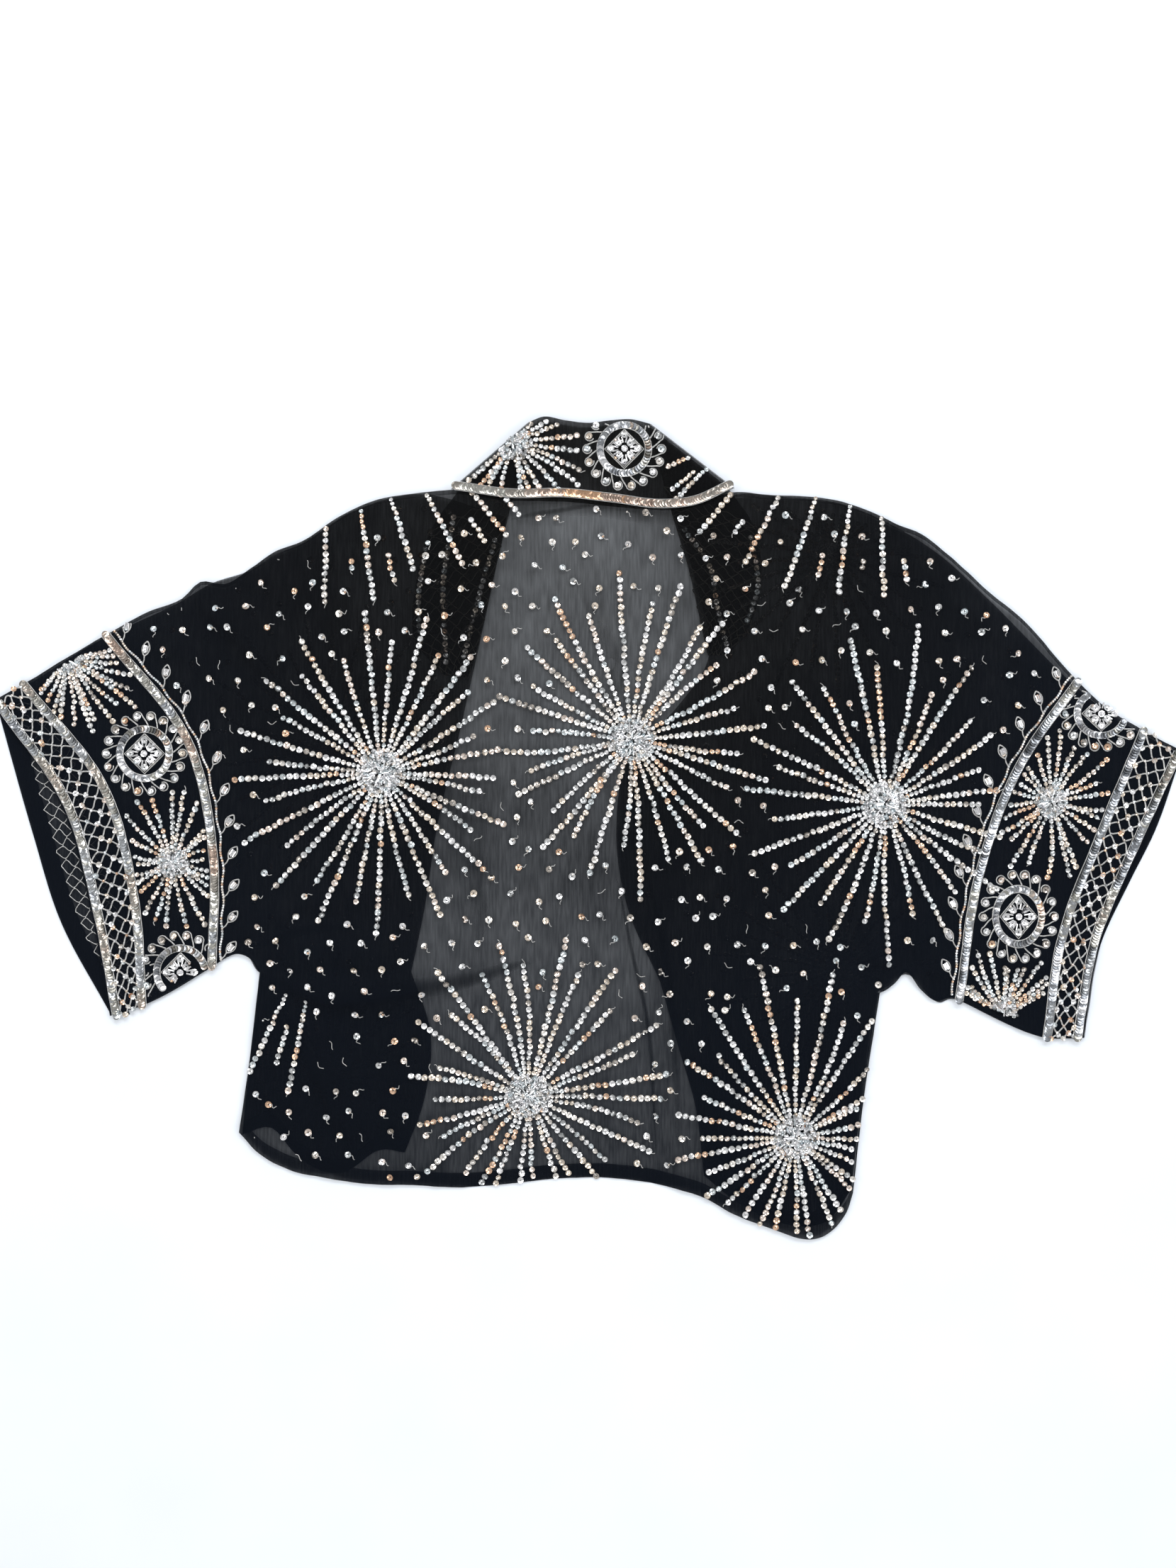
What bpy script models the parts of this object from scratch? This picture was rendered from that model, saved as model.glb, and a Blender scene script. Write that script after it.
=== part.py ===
"""A sheer evening jacket with short kimono sleeves, laid flat on its fronts with the back up.

The back and the two fronts are each cut in one with their half of the sleeves. The back lies on
the fronts, the turned-down collar lies above the back's neck, and its lapels run down under the
fronts. Sequin trims lie on the collar and on the cuffs. +X points to the wearer's right, +Y to the
collar and +Z up. Left and right are the wearer's. The tables are in millimetres, and the origin
is at the middle of the jacket's outline, on the surface it lies on.
"""

import math
from collections import namedtuple

import bmesh
import bpy
from mathutils import Vector

MM = 0.001

# Driving dimensions, in millimetres
BACK_WALL = 1.5
FRONT_WALL = 1.2
LAPEL_WALL = 1.0
COLLAR_WALL = 1.2
LAYER_GAP = 0.4
SEAM_GAP = 0.3
TRIM_WIDTH = 7.0
TRIM_WALL = 1.1
CUFF_MARGIN = 2.0
HEM_DEPTH = 11.0
HEM_EXTRA = 0.4
CORE_HEIGHT = 1.8
MOTIF_HEIGHT = 1.6
RING_WIDTH = 5.0

# The collar's turned-down layer lies this high, and its stand ends this far short of the back.
COLLAR_FALL_HEIGHT = 5.5
COLLAR_STAND_LIFT = 0.07

# The back comes down to the surface over a ramp inside the opening, and the fronts come down over
# a ramp around the lapels.
OPENING_RAMP = 22.0
LAPEL_CLEARANCE = 22.0
LAPEL_RAMP = 60.0

# Mesh sizes: cells in millimetres, and counts of steps
BACK_CELL = 15.5
FRONT_CELL = 22.0
LAPEL_COLUMNS = 3
LAPEL_ROWS = 10
COLLAR_COLUMNS = 18
COLLAR_ROWS = 5
ROLL_STEPS = 5
CREST_STEPS = 16
FADE_STEPS = 5
FOLD_EXTENT = 3
FINE_STEPS = 60
RING_SIDES = 6
RING_TURNS = 28
PETAL_POINTS = 4
SHARP_ANGLE = math.radians(40)

# A panel's sections run across it from cuff to cuff, or from cuff to front edge. The line named
# over goes from the shoulder edge down to the underarm's level, and below goes on to the hem.
Section = namedtuple("Section", "name over below")

BACK_SECTIONS = [
    Section("left cuff", [(-462, 97), (-407, 16), (-385, -65), (-370, -146)], None),
    Section("left middle trim", [(-437, 111), (-373, 28), (-351, -55), (-345, -138)], None),
    Section("left inner trim", [(-373, 149), (-308, 63), (-290, -22), (-291, -108)], None),
    Section("left forearm", [(-340, 167), (-292, 68), (-278, -18), (-280, -101)], None),
    Section("left pucker start", [(-314, 177), (-281, 72), (-269, -16), (-272, -98)], None),
    Section("left pucker", [(-300, 190), (-276, 80), (-264, -14), (-266, -99)], None),
    Section("left pucker end", [(-281, 188), (-270, 90), (-260, -103)], None),
    Section("left side", [(-262, 200), (-254, -112)], [(-254, -112), (-262, -180), (-270, -236)]),
    Section("left corner", [(-243, 213), (-238, -113)], [(-238, -113), (-254, -253)]),
    Section("left hem", [(-222, 221), (-218, -114)], [(-218, -114), (-232, -265)]),
    Section("left shoulder", [(-195, 239), (-192, -115)], [(-192, -115), (-205, -271)]),
    Section("left shoulder crown", [(-165, 253), (-162, -116)], [(-162, -116), (-172, -276)]),
    Section("left blade", [(-135, 258), (-130, -118)], [(-130, -118), (-136, -277)]),
    Section("left neck point", [(-103, 261), (-98, -119)], [(-98, -119), (-100, -279)]),
    Section("left neck", [(-60, 256), (-58, -120)], [(-58, -120), (-60, -276)]),
    Section("centre left", [(-20, 256), (-20, -121)], [(-20, -121), (-20, -272)]),
    Section("centre right", [(20, 252), (20, -122)], [(20, -122), (20, -272)]),
    Section("right neck", [(60, 249), (58, -123)], [(58, -123), (60, -278)]),
    Section("right neck side", [(85, 251), (85, -124)], [(85, -124), (88, -286)]),
    Section("right neck point", [(112, 259), (110, -125)], [(110, -125), (112, -299)]),
    Section("right blade", [(140, 257), (138, -126)], [(138, -126), (140, -310)]),
    Section("right shoulder crown", [(170, 256), (165, -127)], [(165, -127), (170, -319)]),
    Section("right shoulder", [(197, 252), (190, -127)], [(190, -127), (188, -313)]),
    Section("right corner", [(222, 243), (210, -127)], [(210, -127), (200, -298)]),
    Section("right side", [(240, 234), (226, -128)], [(226, -128), (214, -205), (205, -283)]),
    Section("right scallop", [(258, 227), (237, -121)], None),
    Section("right underarm", [(275, 214), (246, -112)], None),
    Section("right droop start", [(292, 199), (257, -125)], None),
    Section("right droop", [(310, 182), (290, 75), (274, -30), (268, -134)], None),
    Section("right forearm", [(335, 162), (304, 65), (283, -30), (279, -132)], None),
    Section("right inner trim", [(379, 113), (333, 46), (303, -35), (287, -134)], None),
    Section("right middle trim", [(430, 75), (398, -2), (367, -84), (355, -163)], None),
    Section("right cuff", [(462, 58), (428, -15), (397, -90), (384, -163)], None),
]

LEFT_FRONT_EDGE = [(-63, 240), (-80, 160), (-98, 80), (-117, 0), (-128, -70), (-137, -112)]
LEFT_FRONT_EDGE_BELOW = [(-137, -112), (-122, -160), (-128, -215), (-142, -252)]
RIGHT_FRONT_EDGE = [
    (66, 244), (84, 188), (93, 130), (68, 92), (32, 55), (22, 0), (30, -60), (56, -120)
]
RIGHT_FRONT_EDGE_BELOW = [(56, -120), (70, -170), (83, -215), (90, -270)]

LEFT_FRONT_SECTIONS = [
    Section("cuff", [(-456, 93), (-435, 14), (-410, -65), (-371, -143)], None),
    Section("inner trim", [(-372, 144), (-314, 62), (-292, -22), (-292, -104)], None),
    Section("pucker", [(-314, 171), (-288, 72), (-273, -14), (-272, -101)], None),
    Section("side", [(-262, 194), (-256, -114)], [(-256, -114), (-266, -231)]),
    Section("side hem", [(-222, 216), (-222, -113)], [(-222, -113), (-228, -236)]),
    Section("shoulder", [(-180, 241), (-184, -112)], [(-184, -112), (-188, -259)]),
    Section("neck point", [(-130, 252), (-158, -112)], [(-158, -112), (-166, -249)]),
    Section("front edge", LEFT_FRONT_EDGE, LEFT_FRONT_EDGE_BELOW),
]

RIGHT_FRONT_SECTIONS = [
    Section("front edge", RIGHT_FRONT_EDGE, RIGHT_FRONT_EDGE_BELOW),
    Section("neck point", [(116, 254), (100, -123)], [(100, -123), (118, -287)]),
    Section("shoulder crown", [(150, 251), (146, -124)], [(146, -124), (150, -297)]),
    Section("shoulder", [(195, 246), (188, -125)], [(188, -125), (184, -295)]),
    Section("side", [(236, 228), (220, -126)], [(220, -126), (207, -205), (200, -278)]),
    Section("underarm", [(270, 210), (246, -117)], None),
    Section("droop", [(308, 176), (268, -128)], None),
    Section("inner trim", [(375, 108), (331, 40), (303, -38), (287, -130)], None),
    Section("cuff", [(458, 55), (438, -8), (424, -40), (397, -92), (384, -160)], None),
]

# Each lapel is a strip between its outer line and the neckline that it is sewn to.
Strip = namedtuple("Strip", "outer inner")
LEFT_LAPEL = Strip(
    [(-99, 263), (-122, 230), (-134, 185), (-134, 145), (-112, 118)],
    [(-45, 312), (-62, 240), (-73, 195), (-83, 150), (-92, 116)],
)
RIGHT_LAPEL = Strip(
    [(47, 311), (66, 240), (78, 200), (87, 160), (93, 133)],
    [(108, 264), (129, 232), (134, 192), (126, 158), (109, 134)],
)

# The collar's lower edge, which carries its trim, and the fold along its top.
COLLAR_EDGE = [(-106, 261), (-60, 254), (-20, 254), (20, 250), (60, 246), (85, 249), (113, 262)]
COLLAR_FOLD = [(-47, 312), (-36, 316), (-18, 313), (0, 311), (18, 313), (34, 314), (49, 311)]

# A soft ridge of cloth along a crest. It is as wide as reach on each side, and wider by its lean on
# the side to the left of the crest's direction.
Fold = namedtuple("Fold", "name crest height reach lean")
FOLDS = [
    Fold("left arm roll", [(-246, -100), (-195, -94), (-140, -104)], 7.0, 17, 0.0),
    Fold("left waist drape", [(-236, -124), (-165, -130), (-60, -98)], 6.0, 17, 0.3),
    Fold("left sleeve drape", [(-272, -84), (-225, -58), (-175, -52)], 4.5, 17, 0.3),
    Fold("left side drape", [(-200, -166), (-192, -206), (-168, -250)], 5.5, 17, 0.2),
    Fold("shoulder pucker", [(-298, 182), (-272, 160), (-234, 120)], 6.5, 16, 0.0),
    Fold("forearm pucker", [(-340, 152), (-302, 132), (-262, 92)], 4.5, 16, 0.0),
    Fold("overarm drape", [(-250, 178), (-215, 178), (-176, 170)], 3.5, 17, 0.0),
    Fold("left neck ripple", [(-96, 222), (-50, 212), (-4, 220)], 3.0, 16, 0.0),
    Fold("right pleat inner", [(12, -70), (28, -150), (40, -236)], 3.6, 15, -0.3),
    Fold("right pleat outer", [(66, -100), (72, -180), (88, -250)], 4.2, 15, -0.3),
    Fold("right hip roll", [(192, -100), (190, -155), (178, -215)], 5.5, 17, 0.0),
    Fold("right hip ripple", [(146, -96), (150, -140), (146, -190)], 3.2, 16, 0.0),
    Fold("right underarm ripple", [(230, -110), (222, -82), (212, -46)], 4.6, 15, 0.0),
    Fold("right underarm droop", [(270, -122), (264, -90), (252, -50)], 5.5, 16, 0.0),
    Fold("right arm drape", [(250, 62), (266, 96), (292, 134)], 3.6, 17, 0.0),
    Fold("right overarm roll", [(246, 210), (308, 158), (346, 116)], 3.6, 16, 0.0),
    Fold("centre ripple", [(-90, 60), (-96, -10), (-84, -66)], 2.6, 17, 0.0),
]

# The beaded heart of each sequin burst stands up from the cloth, flat over a share of its radius.
CORE_FLAT = 0.5
Core = namedtuple("Core", "x y radius")
CORES = [
    Core(33, 68, 21), Core(-160, 42, 21), Core(229, 18, 21), Core(-45, -208, 21),
    Core(160, -242, 21), Core(-322, -25, 15), Core(357, 20, 15),
]

# A medallion is a flattened ring with a rosette inside it, as large as its half-width and half-height.
Medallion = namedtuple("Medallion", "name x y across up")
LEFT_CUFF_MEDALLION = Medallion("left_cuff", -343, 57, 21.0, 21.0)
RIGHT_CUFF_MEDALLION = Medallion("right_cuff", 333, -69, 19.5, 23.5)
COLLAR_MEDALLION = Medallion("collar", 28, 290, 19.5, 19.5)

# The rosette fills this share of the ring's inside, and its petals swell its outline by a share.
PETALS = 8
ROSETTE_SHARE = 0.6
PETAL_SWELL = 0.16

Material = namedtuple("Material", "name colour roughness metallic")
CHIFFON = Material("black_chiffon", (0.012, 0.012, 0.016), 0.85, 0.0)
SEQUIN = Material("silver_sequin", (0.78, 0.76, 0.73), 0.25, 0.9)


def smooth(share):
    """Eases from 0 to 1 as the share goes from 0 to 1."""
    share = min(max(share, 0.0), 1.0)
    return share * share * (3 - 2 * share)


def between(low, high, share):
    return tuple(a + (b - a) * share for a, b in zip(low, high))


def along(line, count):
    """Count + 1 points, equally spaced along a smooth line through the given ones."""
    knots = [0.0]
    for start, end in zip(line, line[1:]):
        knots.append(knots[-1] + math.dist(start, end))
    return [curve_at(line, knots, knots[-1] * step / count) for step in range(count + 1)]


def curve_at(points, knots, where):
    """The point at a distance along the smooth curve through the points, whose places are knots."""
    last = len(points) - 2
    index = next((i for i in range(last) if where < knots[i + 1]), last)
    span = knots[index + 1] - knots[index]
    share = (where - knots[index]) / span
    slopes = [slope_at(points, knots, index + step) for step in (0, 1)]
    square = share * share
    cube = share * square
    ease = 3 * square - 2 * cube
    weights = (1 - ease, (cube - 2 * square + share) * span, ease, (cube - square) * span)
    ends = (points[index], slopes[0], points[index + 1], slopes[1])
    return tuple(
        sum(weight * end[axis] for weight, end in zip(weights, ends))
        for axis in range(len(points[0]))
    )


def slope_at(points, knots, index):
    """The curve's slope at one of its points, as a mean of the slopes on either side."""
    def chord(i):
        return [(b - a) / (knots[i + 1] - knots[i]) for a, b in zip(points[i], points[i + 1])]

    if index == 0:
        return chord(0)
    if index == len(points) - 1:
        return chord(index - 1)
    before, after = knots[index] - knots[index - 1], knots[index + 1] - knots[index]
    pairs = zip(chord(index - 1), chord(index))
    return [(a * after + b * before) / (before + after) for a, b in pairs]


def x_on(line, y):
    """Where a line that runs down the jacket crosses a height."""
    for (x0, y0), (x1, y1) in zip(line, line[1:]):
        if y0 >= y >= y1:
            return x0 + (x1 - x0) * (y0 - y) / (y0 - y1)
    return line[0][0] if y > line[0][1] else line[-1][0]


def moved(section, step, name):
    """A copy of a section, moved across the jacket."""
    return Section(name, [(x + step, y) for x, y in section.over], section.below)


def with_trims(sections):
    """Adds a narrow column of cells for each trim of the cuffs."""
    made = []
    for section in sections:
        if section.name.endswith("cuff"):
            inward = 1 if section.name.startswith("left") else -1
            steps = (0, inward * CUFF_MARGIN, inward * (CUFF_MARGIN + TRIM_WIDTH))
            names = (section.name, section.name + " outer trim", section.name + " edge")
            rows = [moved(section, step, name) for step, name in zip(steps, names)]
            made += rows if inward > 0 else rows[::-1]
        elif section.name.endswith("trim"):
            made.append(moved(section, -TRIM_WIDTH / 2, section.name))
            made.append(moved(section, TRIM_WIDTH / 2, section.name + " far side"))
        else:
            made.append(section)
    return made


class Panel:
    """A grid of points over a panel: columns from cuff to cuff, rows from shoulder to hem."""

    def __init__(self, sections, cell):
        body = [section for section in sections if section.below]
        lengths = [mean_distance(a.over, b.over) for a, b in zip(sections, sections[1:])]
        knots = [sum(lengths[:i]) for i in range(len(sections))]
        body_knots = [knots[sections.index(section)] for section in body]
        self.columns = {}
        places = self.place_columns(sections, knots, cell)
        arm_row = most_cells([section.over for section in sections], cell)
        low_rows = most_cells([section.below for section in body], cell)
        self.hem_row = arm_row + low_rows
        over = [along(section.over, arm_row) for section in sections]
        below = [hem_points(section.below, low_rows) for section in body]
        first = self.columns[body[0].name]
        last = self.columns[body[-1].name]
        self.points = {}
        for column, place in enumerate(places):
            for row in range(arm_row + 1):
                line = [points[row] for points in over]
                self.points[column, row] = curve_at(line, knots, place)
            for row in range(1, low_rows + 1) if first <= column <= last else ():
                line = [points[row] for points in below]
                self.points[column, arm_row + row] = curve_at(line, body_knots, place)
        self.cells = [cell for cell in self.points if set(corners(*cell)) <= set(self.points)]

    def place_columns(self, sections, knots, cell):
        """Columns at every section and, equally spaced, between them."""
        places = []
        for section, start, end in zip(sections, knots, knots[1:]):
            self.columns[section.name] = len(places)
            steps = max(1, round((end - start) / cell))
            places += [start + (end - start) * step / steps for step in range(steps)]
        self.columns[sections[-1].name] = len(places)
        return places + [knots[-1]]

    def strip(self, column):
        """The cells of one column, for a trim that lies on them."""
        return [cell for cell in self.cells if cell[0] == column]


def corners(column, row):
    """The four corners of a cell, in order around it."""
    return (column, row), (column + 1, row), (column + 1, row + 1), (column, row + 1)


def mean_distance(line, other):
    """The distance between two sections, as a mean of those at their upper and lower ends."""
    return (math.dist(line[0], other[0]) + math.dist(line[-1], other[-1])) / 2


def most_cells(lines, cell):
    return max(round(math.dist(line[0], line[-1]) / cell) for line in lines)


def hem_points(line, rows):
    """Rows down to the hem, the last one as deep as the hem is turned."""
    fine = along(line, FINE_STEPS)
    hem_share = HEM_DEPTH / math.dist(line[0], line[-1])
    shares = [(1 - hem_share) * row / (rows - 1) for row in range(rows)] + [1.0]
    return [curve_at(fine, range(FINE_STEPS + 1), FINE_STEPS * share) for share in shares]


def link(name, mesh, material):
    """A named object in the jacket's collection, with its material."""
    obj = bpy.data.objects.new(name, mesh)
    bpy.data.collections["Jacket"].objects.link(obj)
    mesh.materials.append(bpy.data.materials[material.name])
    mesh.shade_smooth()
    mesh.set_sharp_from_angle(angle=SHARP_ANGLE)
    return obj


def finish_mesh(name, bm):
    """Turns the bmesh's faces outwards and its millimetres to metres, and makes its mesh."""
    bmesh.ops.recalc_face_normals(bm, faces=bm.faces[:])
    bmesh.ops.scale(bm, vec=(MM, MM, MM), verts=bm.verts[:])
    mesh = bpy.data.meshes.new(name)
    bm.to_mesh(mesh)
    bm.free()
    return mesh


def wall(name, points, cells, under, thickness, material):
    """A cloth wall over a grid: its underside, a copy of that raised by the thickness, and a rim."""
    bm = bmesh.new()
    used = sorted({corner for cell in cells for corner in corners(*cell)})
    verts = {key: bm.verts.new((*points[key], under(key))) for key in used}
    for cell in cells:
        bm.faces.new([verts[corner] for corner in corners(*cell)])
    bmesh.ops.triangulate(bm, faces=bm.faces[:], quad_method="FIXED")
    copied = bmesh.ops.duplicate(bm, geom=bm.verts[:] + bm.edges[:] + bm.faces[:])
    for key, vert in verts.items():
        copied["vert_map"][vert].co.z += thickness(key)
    bmesh.ops.bridge_loops(bm, edges=[edge for edge in bm.edges if edge.is_boundary])
    bmesh.ops.triangulate(bm, faces=bm.faces[:], quad_method="FIXED")
    return link(name, finish_mesh(name, bm), material)


def fold_height(fold, x, y):
    """How high a fold's ridge stands at a point. It fades at both ends of its crest."""
    crest = along(fold.crest, CREST_STEPS)
    step, nearest = min(enumerate(crest), key=lambda item: math.dist(item[1], (x, y)))
    distance = math.dist(nearest, (x, y))
    if distance > FOLD_EXTENT * fold.reach:
        return 0.0
    ahead = crest[min(step + 1, CREST_STEPS)]
    behind = crest[max(step - 1, 0)]
    side = (ahead[0] - behind[0]) * (y - nearest[1]) - (ahead[1] - behind[1]) * (x - nearest[0])
    reach = fold.reach * (1 + math.copysign(fold.lean, side))
    end_fade = smooth((min(step, CREST_STEPS - step) + 1) / FADE_STEPS)
    return fold.height * math.exp(-((distance / reach) ** 2)) * end_fade


def creases(x, y):
    return max(fold_height(fold, x, y) for fold in FOLDS)


def open_width(x, y):
    """How far a point lies inside the opening between the fronts, or a negative number."""
    left = x_on(LEFT_FRONT_EDGE + LEFT_FRONT_EDGE_BELOW, y)
    right = x_on(RIGHT_FRONT_EDGE + RIGHT_FRONT_EDGE_BELOW, y)
    return min(x - left, right - x)


def over_lapels(x, y):
    """1 where a front lies on a lapel, easing to 0 well clear of it."""
    outside = max(x_on(LEFT_LAPEL.outer, y) - x, x - x_on(RIGHT_LAPEL.inner, y), 0)
    beneath = max(LEFT_LAPEL.outer[-1][1] - y, 0)
    return 1 - smooth((math.hypot(outside, beneath) - LAPEL_CLEARANCE) / LAPEL_RAMP)


def front_under(x, y):
    return (LAPEL_WALL + SEAM_GAP) * over_lapels(x, y)


def back_under(x, y):
    """The back lies on the fronts, and down on the surface where they leave it bare."""
    covered = 1 - smooth((open_width(x, y) - BACK_CELL) / OPENING_RAMP)
    return covered * (front_under(x, y) + FRONT_WALL + LAYER_GAP) + creases(x, y)


def core_height(x, y):
    """The beaded hearts are raised in the outer points only."""
    far = min(math.dist((x, y), (core.x, core.y)) / core.radius for core in CORES)
    return CORE_HEIGHT * (1 - smooth(far - CORE_FLAT))


def build_back(panel):
    def under(key):
        return back_under(*panel.points[key])

    def thickness(key):
        hem = HEM_EXTRA if key[1] >= panel.hem_row - 1 else 0
        return BACK_WALL + hem + core_height(*panel.points[key])

    wall("back", panel.points, panel.cells, under, thickness, CHIFFON)


def build_cuff_trims(panel):
    """Sequin trims made from the back's own points, moved out."""
    trims = {
        "trim_left_cuff_edge": "left cuff outer trim",
        "trim_left_cuff_middle": "left middle trim",
        "trim_left_cuff_inner": "left inner trim",
        "trim_right_cuff_inner": "right inner trim",
        "trim_right_cuff_middle": "right middle trim",
        "trim_right_cuff_edge": "right cuff edge",
    }

    def under(key):
        x, y = panel.points[key]
        return back_under(x, y) + BACK_WALL + core_height(x, y) + SEAM_GAP

    for name, column in trims.items():
        cells = panel.strip(panel.columns[column])
        wall(name, panel.points, cells, under, lambda key: TRIM_WALL, SEQUIN)


def build_front(name, sections):
    panel = Panel(sections, FRONT_CELL)

    def under(key):
        return front_under(*panel.points[key])

    wall(name, panel.points, panel.cells, under, lambda key: FRONT_WALL, CHIFFON)


def build_lapel(name, strip):
    """A flat strip that lies on the surface, with the front on it."""
    outer, inner = along(strip.outer, LAPEL_ROWS), along(strip.inner, LAPEL_ROWS)
    points = {
        (column, row): between(outer[row], inner[row], column / LAPEL_COLUMNS)
        for column in range(LAPEL_COLUMNS + 1)
        for row in range(LAPEL_ROWS + 1)
    }
    cells = [(column, row) for column in range(LAPEL_COLUMNS) for row in range(LAPEL_ROWS)]
    wall(name, points, cells, lambda key: 0.0, lambda key: LAPEL_WALL, CHIFFON)


def collar_line(low, high):
    """A line over the collar: up its turned-down layer, around the roll, and down the stand."""
    stand_height = LAPEL_WALL + SEAM_GAP + COLLAR_WALL / 2
    roll = (COLLAR_FALL_HEIGHT - stand_height) / 2
    run = math.dist(low, high)
    trim_share = (TRIM_WIDTH + CUFF_MARGIN) / run
    rows = [row / COLLAR_ROWS for row in range(COLLAR_ROWS + 1)]
    fall = [0] + [trim_share + (1 - trim_share) * row for row in rows]
    line = [(between(low, high, share), COLLAR_FALL_HEIGHT) for share in fall]
    for step in range(1, ROLL_STEPS):
        angle = math.pi * step / ROLL_STEPS
        beyond = 1 + roll * math.sin(angle) / run
        line.append((between(low, high, beyond), COLLAR_FALL_HEIGHT - roll * (1 - math.cos(angle))))
    stand = [1 - (1 - COLLAR_STAND_LIFT) * row for row in rows]
    return line + [(between(low, high, share), stand_height) for share in stand]


def build_collar():
    """The collar's cloth goes up from the neck seam, rolls over, and comes down to its trimmed edge."""
    edge, fold = along(COLLAR_EDGE, COLLAR_COLUMNS), along(COLLAR_FOLD, COLLAR_COLUMNS)
    bm = bmesh.new()
    lines = [
        [bm.verts.new((*place, height)) for place, height in collar_line(low, high)]
        for low, high in zip(edge, fold)
    ]
    for line, other in zip(lines, lines[1:]):
        for start, end, other_start, other_end in zip(line, line[1:], other, other[1:]):
            bm.faces.new((start, other_start, other_end, end))
    collar = link("collar", finish_mesh("collar", bm), CHIFFON)
    shell = collar.modifiers.new("Wall", "SOLIDIFY")
    shell.thickness = COLLAR_WALL * MM
    shell.offset = 0.0
    shell.use_even_offset = True
    build_collar_trim(edge, fold)


def build_collar_trim(edge, fold):
    """The trim lies along the collar's lower edge."""
    points = {}
    for column, (low, high) in enumerate(zip(edge, fold)):
        for row, inset in enumerate((CUFF_MARGIN / 2, CUFF_MARGIN / 2 + TRIM_WIDTH)):
            points[column, row] = between(low, high, inset / math.dist(low, high))
    cells = [(column, 0) for column in range(COLLAR_COLUMNS)]
    under = COLLAR_FALL_HEIGHT + COLLAR_WALL / 2 + SEAM_GAP
    wall("trim_collar", points, cells, lambda key: under, lambda key: TRIM_WALL, SEQUIN)


def build_ring(medallion, centre):
    """A ring with a flattened round section, stretched to the medallion's height."""
    middle = medallion.across - RING_WIDTH / 2
    bm = bmesh.new()
    section = bmesh.ops.create_circle(bm, segments=RING_SIDES, radius=1.0)["verts"]
    for vert in section:
        vert.co = (middle + vert.co.x * RING_WIDTH / 2, 0, vert.co.y * MOTIF_HEIGHT / 2)
    bmesh.ops.spin(
        bm,
        geom=bm.verts[:] + bm.edges[:],
        axis=(0, 0, 1),
        angle=2 * math.pi,
        steps=RING_TURNS,
        use_merge=True,
    )
    bmesh.ops.remove_doubles(bm, verts=bm.verts[:], dist=SEAM_GAP)
    bmesh.ops.scale(bm, vec=(1, medallion.up / medallion.across, 1), verts=bm.verts[:])
    name = medallion.name + "_medallion_ring"
    link(name, finish_mesh(name, bm), SEQUIN).location = centre


def build_rosette(medallion, centre):
    """A flat disc whose outline swells into petals."""
    radius = (medallion.across - RING_WIDTH) * ROSETTE_SHARE
    bm = bmesh.new()
    bmesh.ops.create_cone(
        bm,
        cap_ends=True,
        segments=PETAL_POINTS * PETALS,
        radius1=radius,
        radius2=radius,
        depth=MOTIF_HEIGHT,
    )
    for vert in bm.verts:
        swell = 1 + PETAL_SWELL * math.cos(PETALS * math.atan2(vert.co.y, vert.co.x))
        vert.co.x *= swell
        vert.co.y *= swell * medallion.up / medallion.across
    name = medallion.name + "_medallion_rosette"
    link(name, finish_mesh(name, bm), SEQUIN).location = centre


def build_medallion(medallion, cloth_height):
    """A medallion lies on flat cloth, a seam's gap above it."""
    height = cloth_height + SEAM_GAP + MOTIF_HEIGHT / 2
    centre = Vector((medallion.x, medallion.y, height)) * MM
    build_ring(medallion, centre)
    build_rosette(medallion, centre)


def make_material(material):
    made = bpy.data.materials.new(material.name)
    made.use_nodes = True
    shader = made.node_tree.nodes["Principled BSDF"]
    shader.inputs["Base Color"].default_value = (*material.colour, 1)
    shader.inputs["Roughness"].default_value = material.roughness
    shader.inputs["Metallic"].default_value = material.metallic


def main():
    for obj in list(bpy.data.objects):
        bpy.data.objects.remove(obj)
    bpy.context.scene.collection.children.link(bpy.data.collections.new("Jacket"))
    make_material(CHIFFON)
    make_material(SEQUIN)
    back = Panel(with_trims(BACK_SECTIONS), BACK_CELL)
    build_back(back)
    build_cuff_trims(back)
    build_front("front_left", LEFT_FRONT_SECTIONS)
    build_front("front_right", RIGHT_FRONT_SECTIONS)
    build_lapel("lapel_left", LEFT_LAPEL)
    build_lapel("lapel_right", RIGHT_LAPEL)
    build_collar()
    cuff_top = FRONT_WALL + LAYER_GAP + BACK_WALL
    build_medallion(LEFT_CUFF_MEDALLION, cuff_top)
    build_medallion(RIGHT_CUFF_MEDALLION, cuff_top)
    build_medallion(COLLAR_MEDALLION, COLLAR_FALL_HEIGHT + COLLAR_WALL / 2)


main()
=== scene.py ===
"""The looks of a sheer evening jacket with silver sequins, laid flat with its back up.

The cloth is thin shells on the solids' forms, and the embroidery is sequins, beads and threads
that are joined into one piece for each motif. The tables and sizes are in millimetres, and the
meshes are made in metres. Left and right are the wearer's: the left sleeve lies towards -X.
"""

import math
from collections import namedtuple

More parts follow.
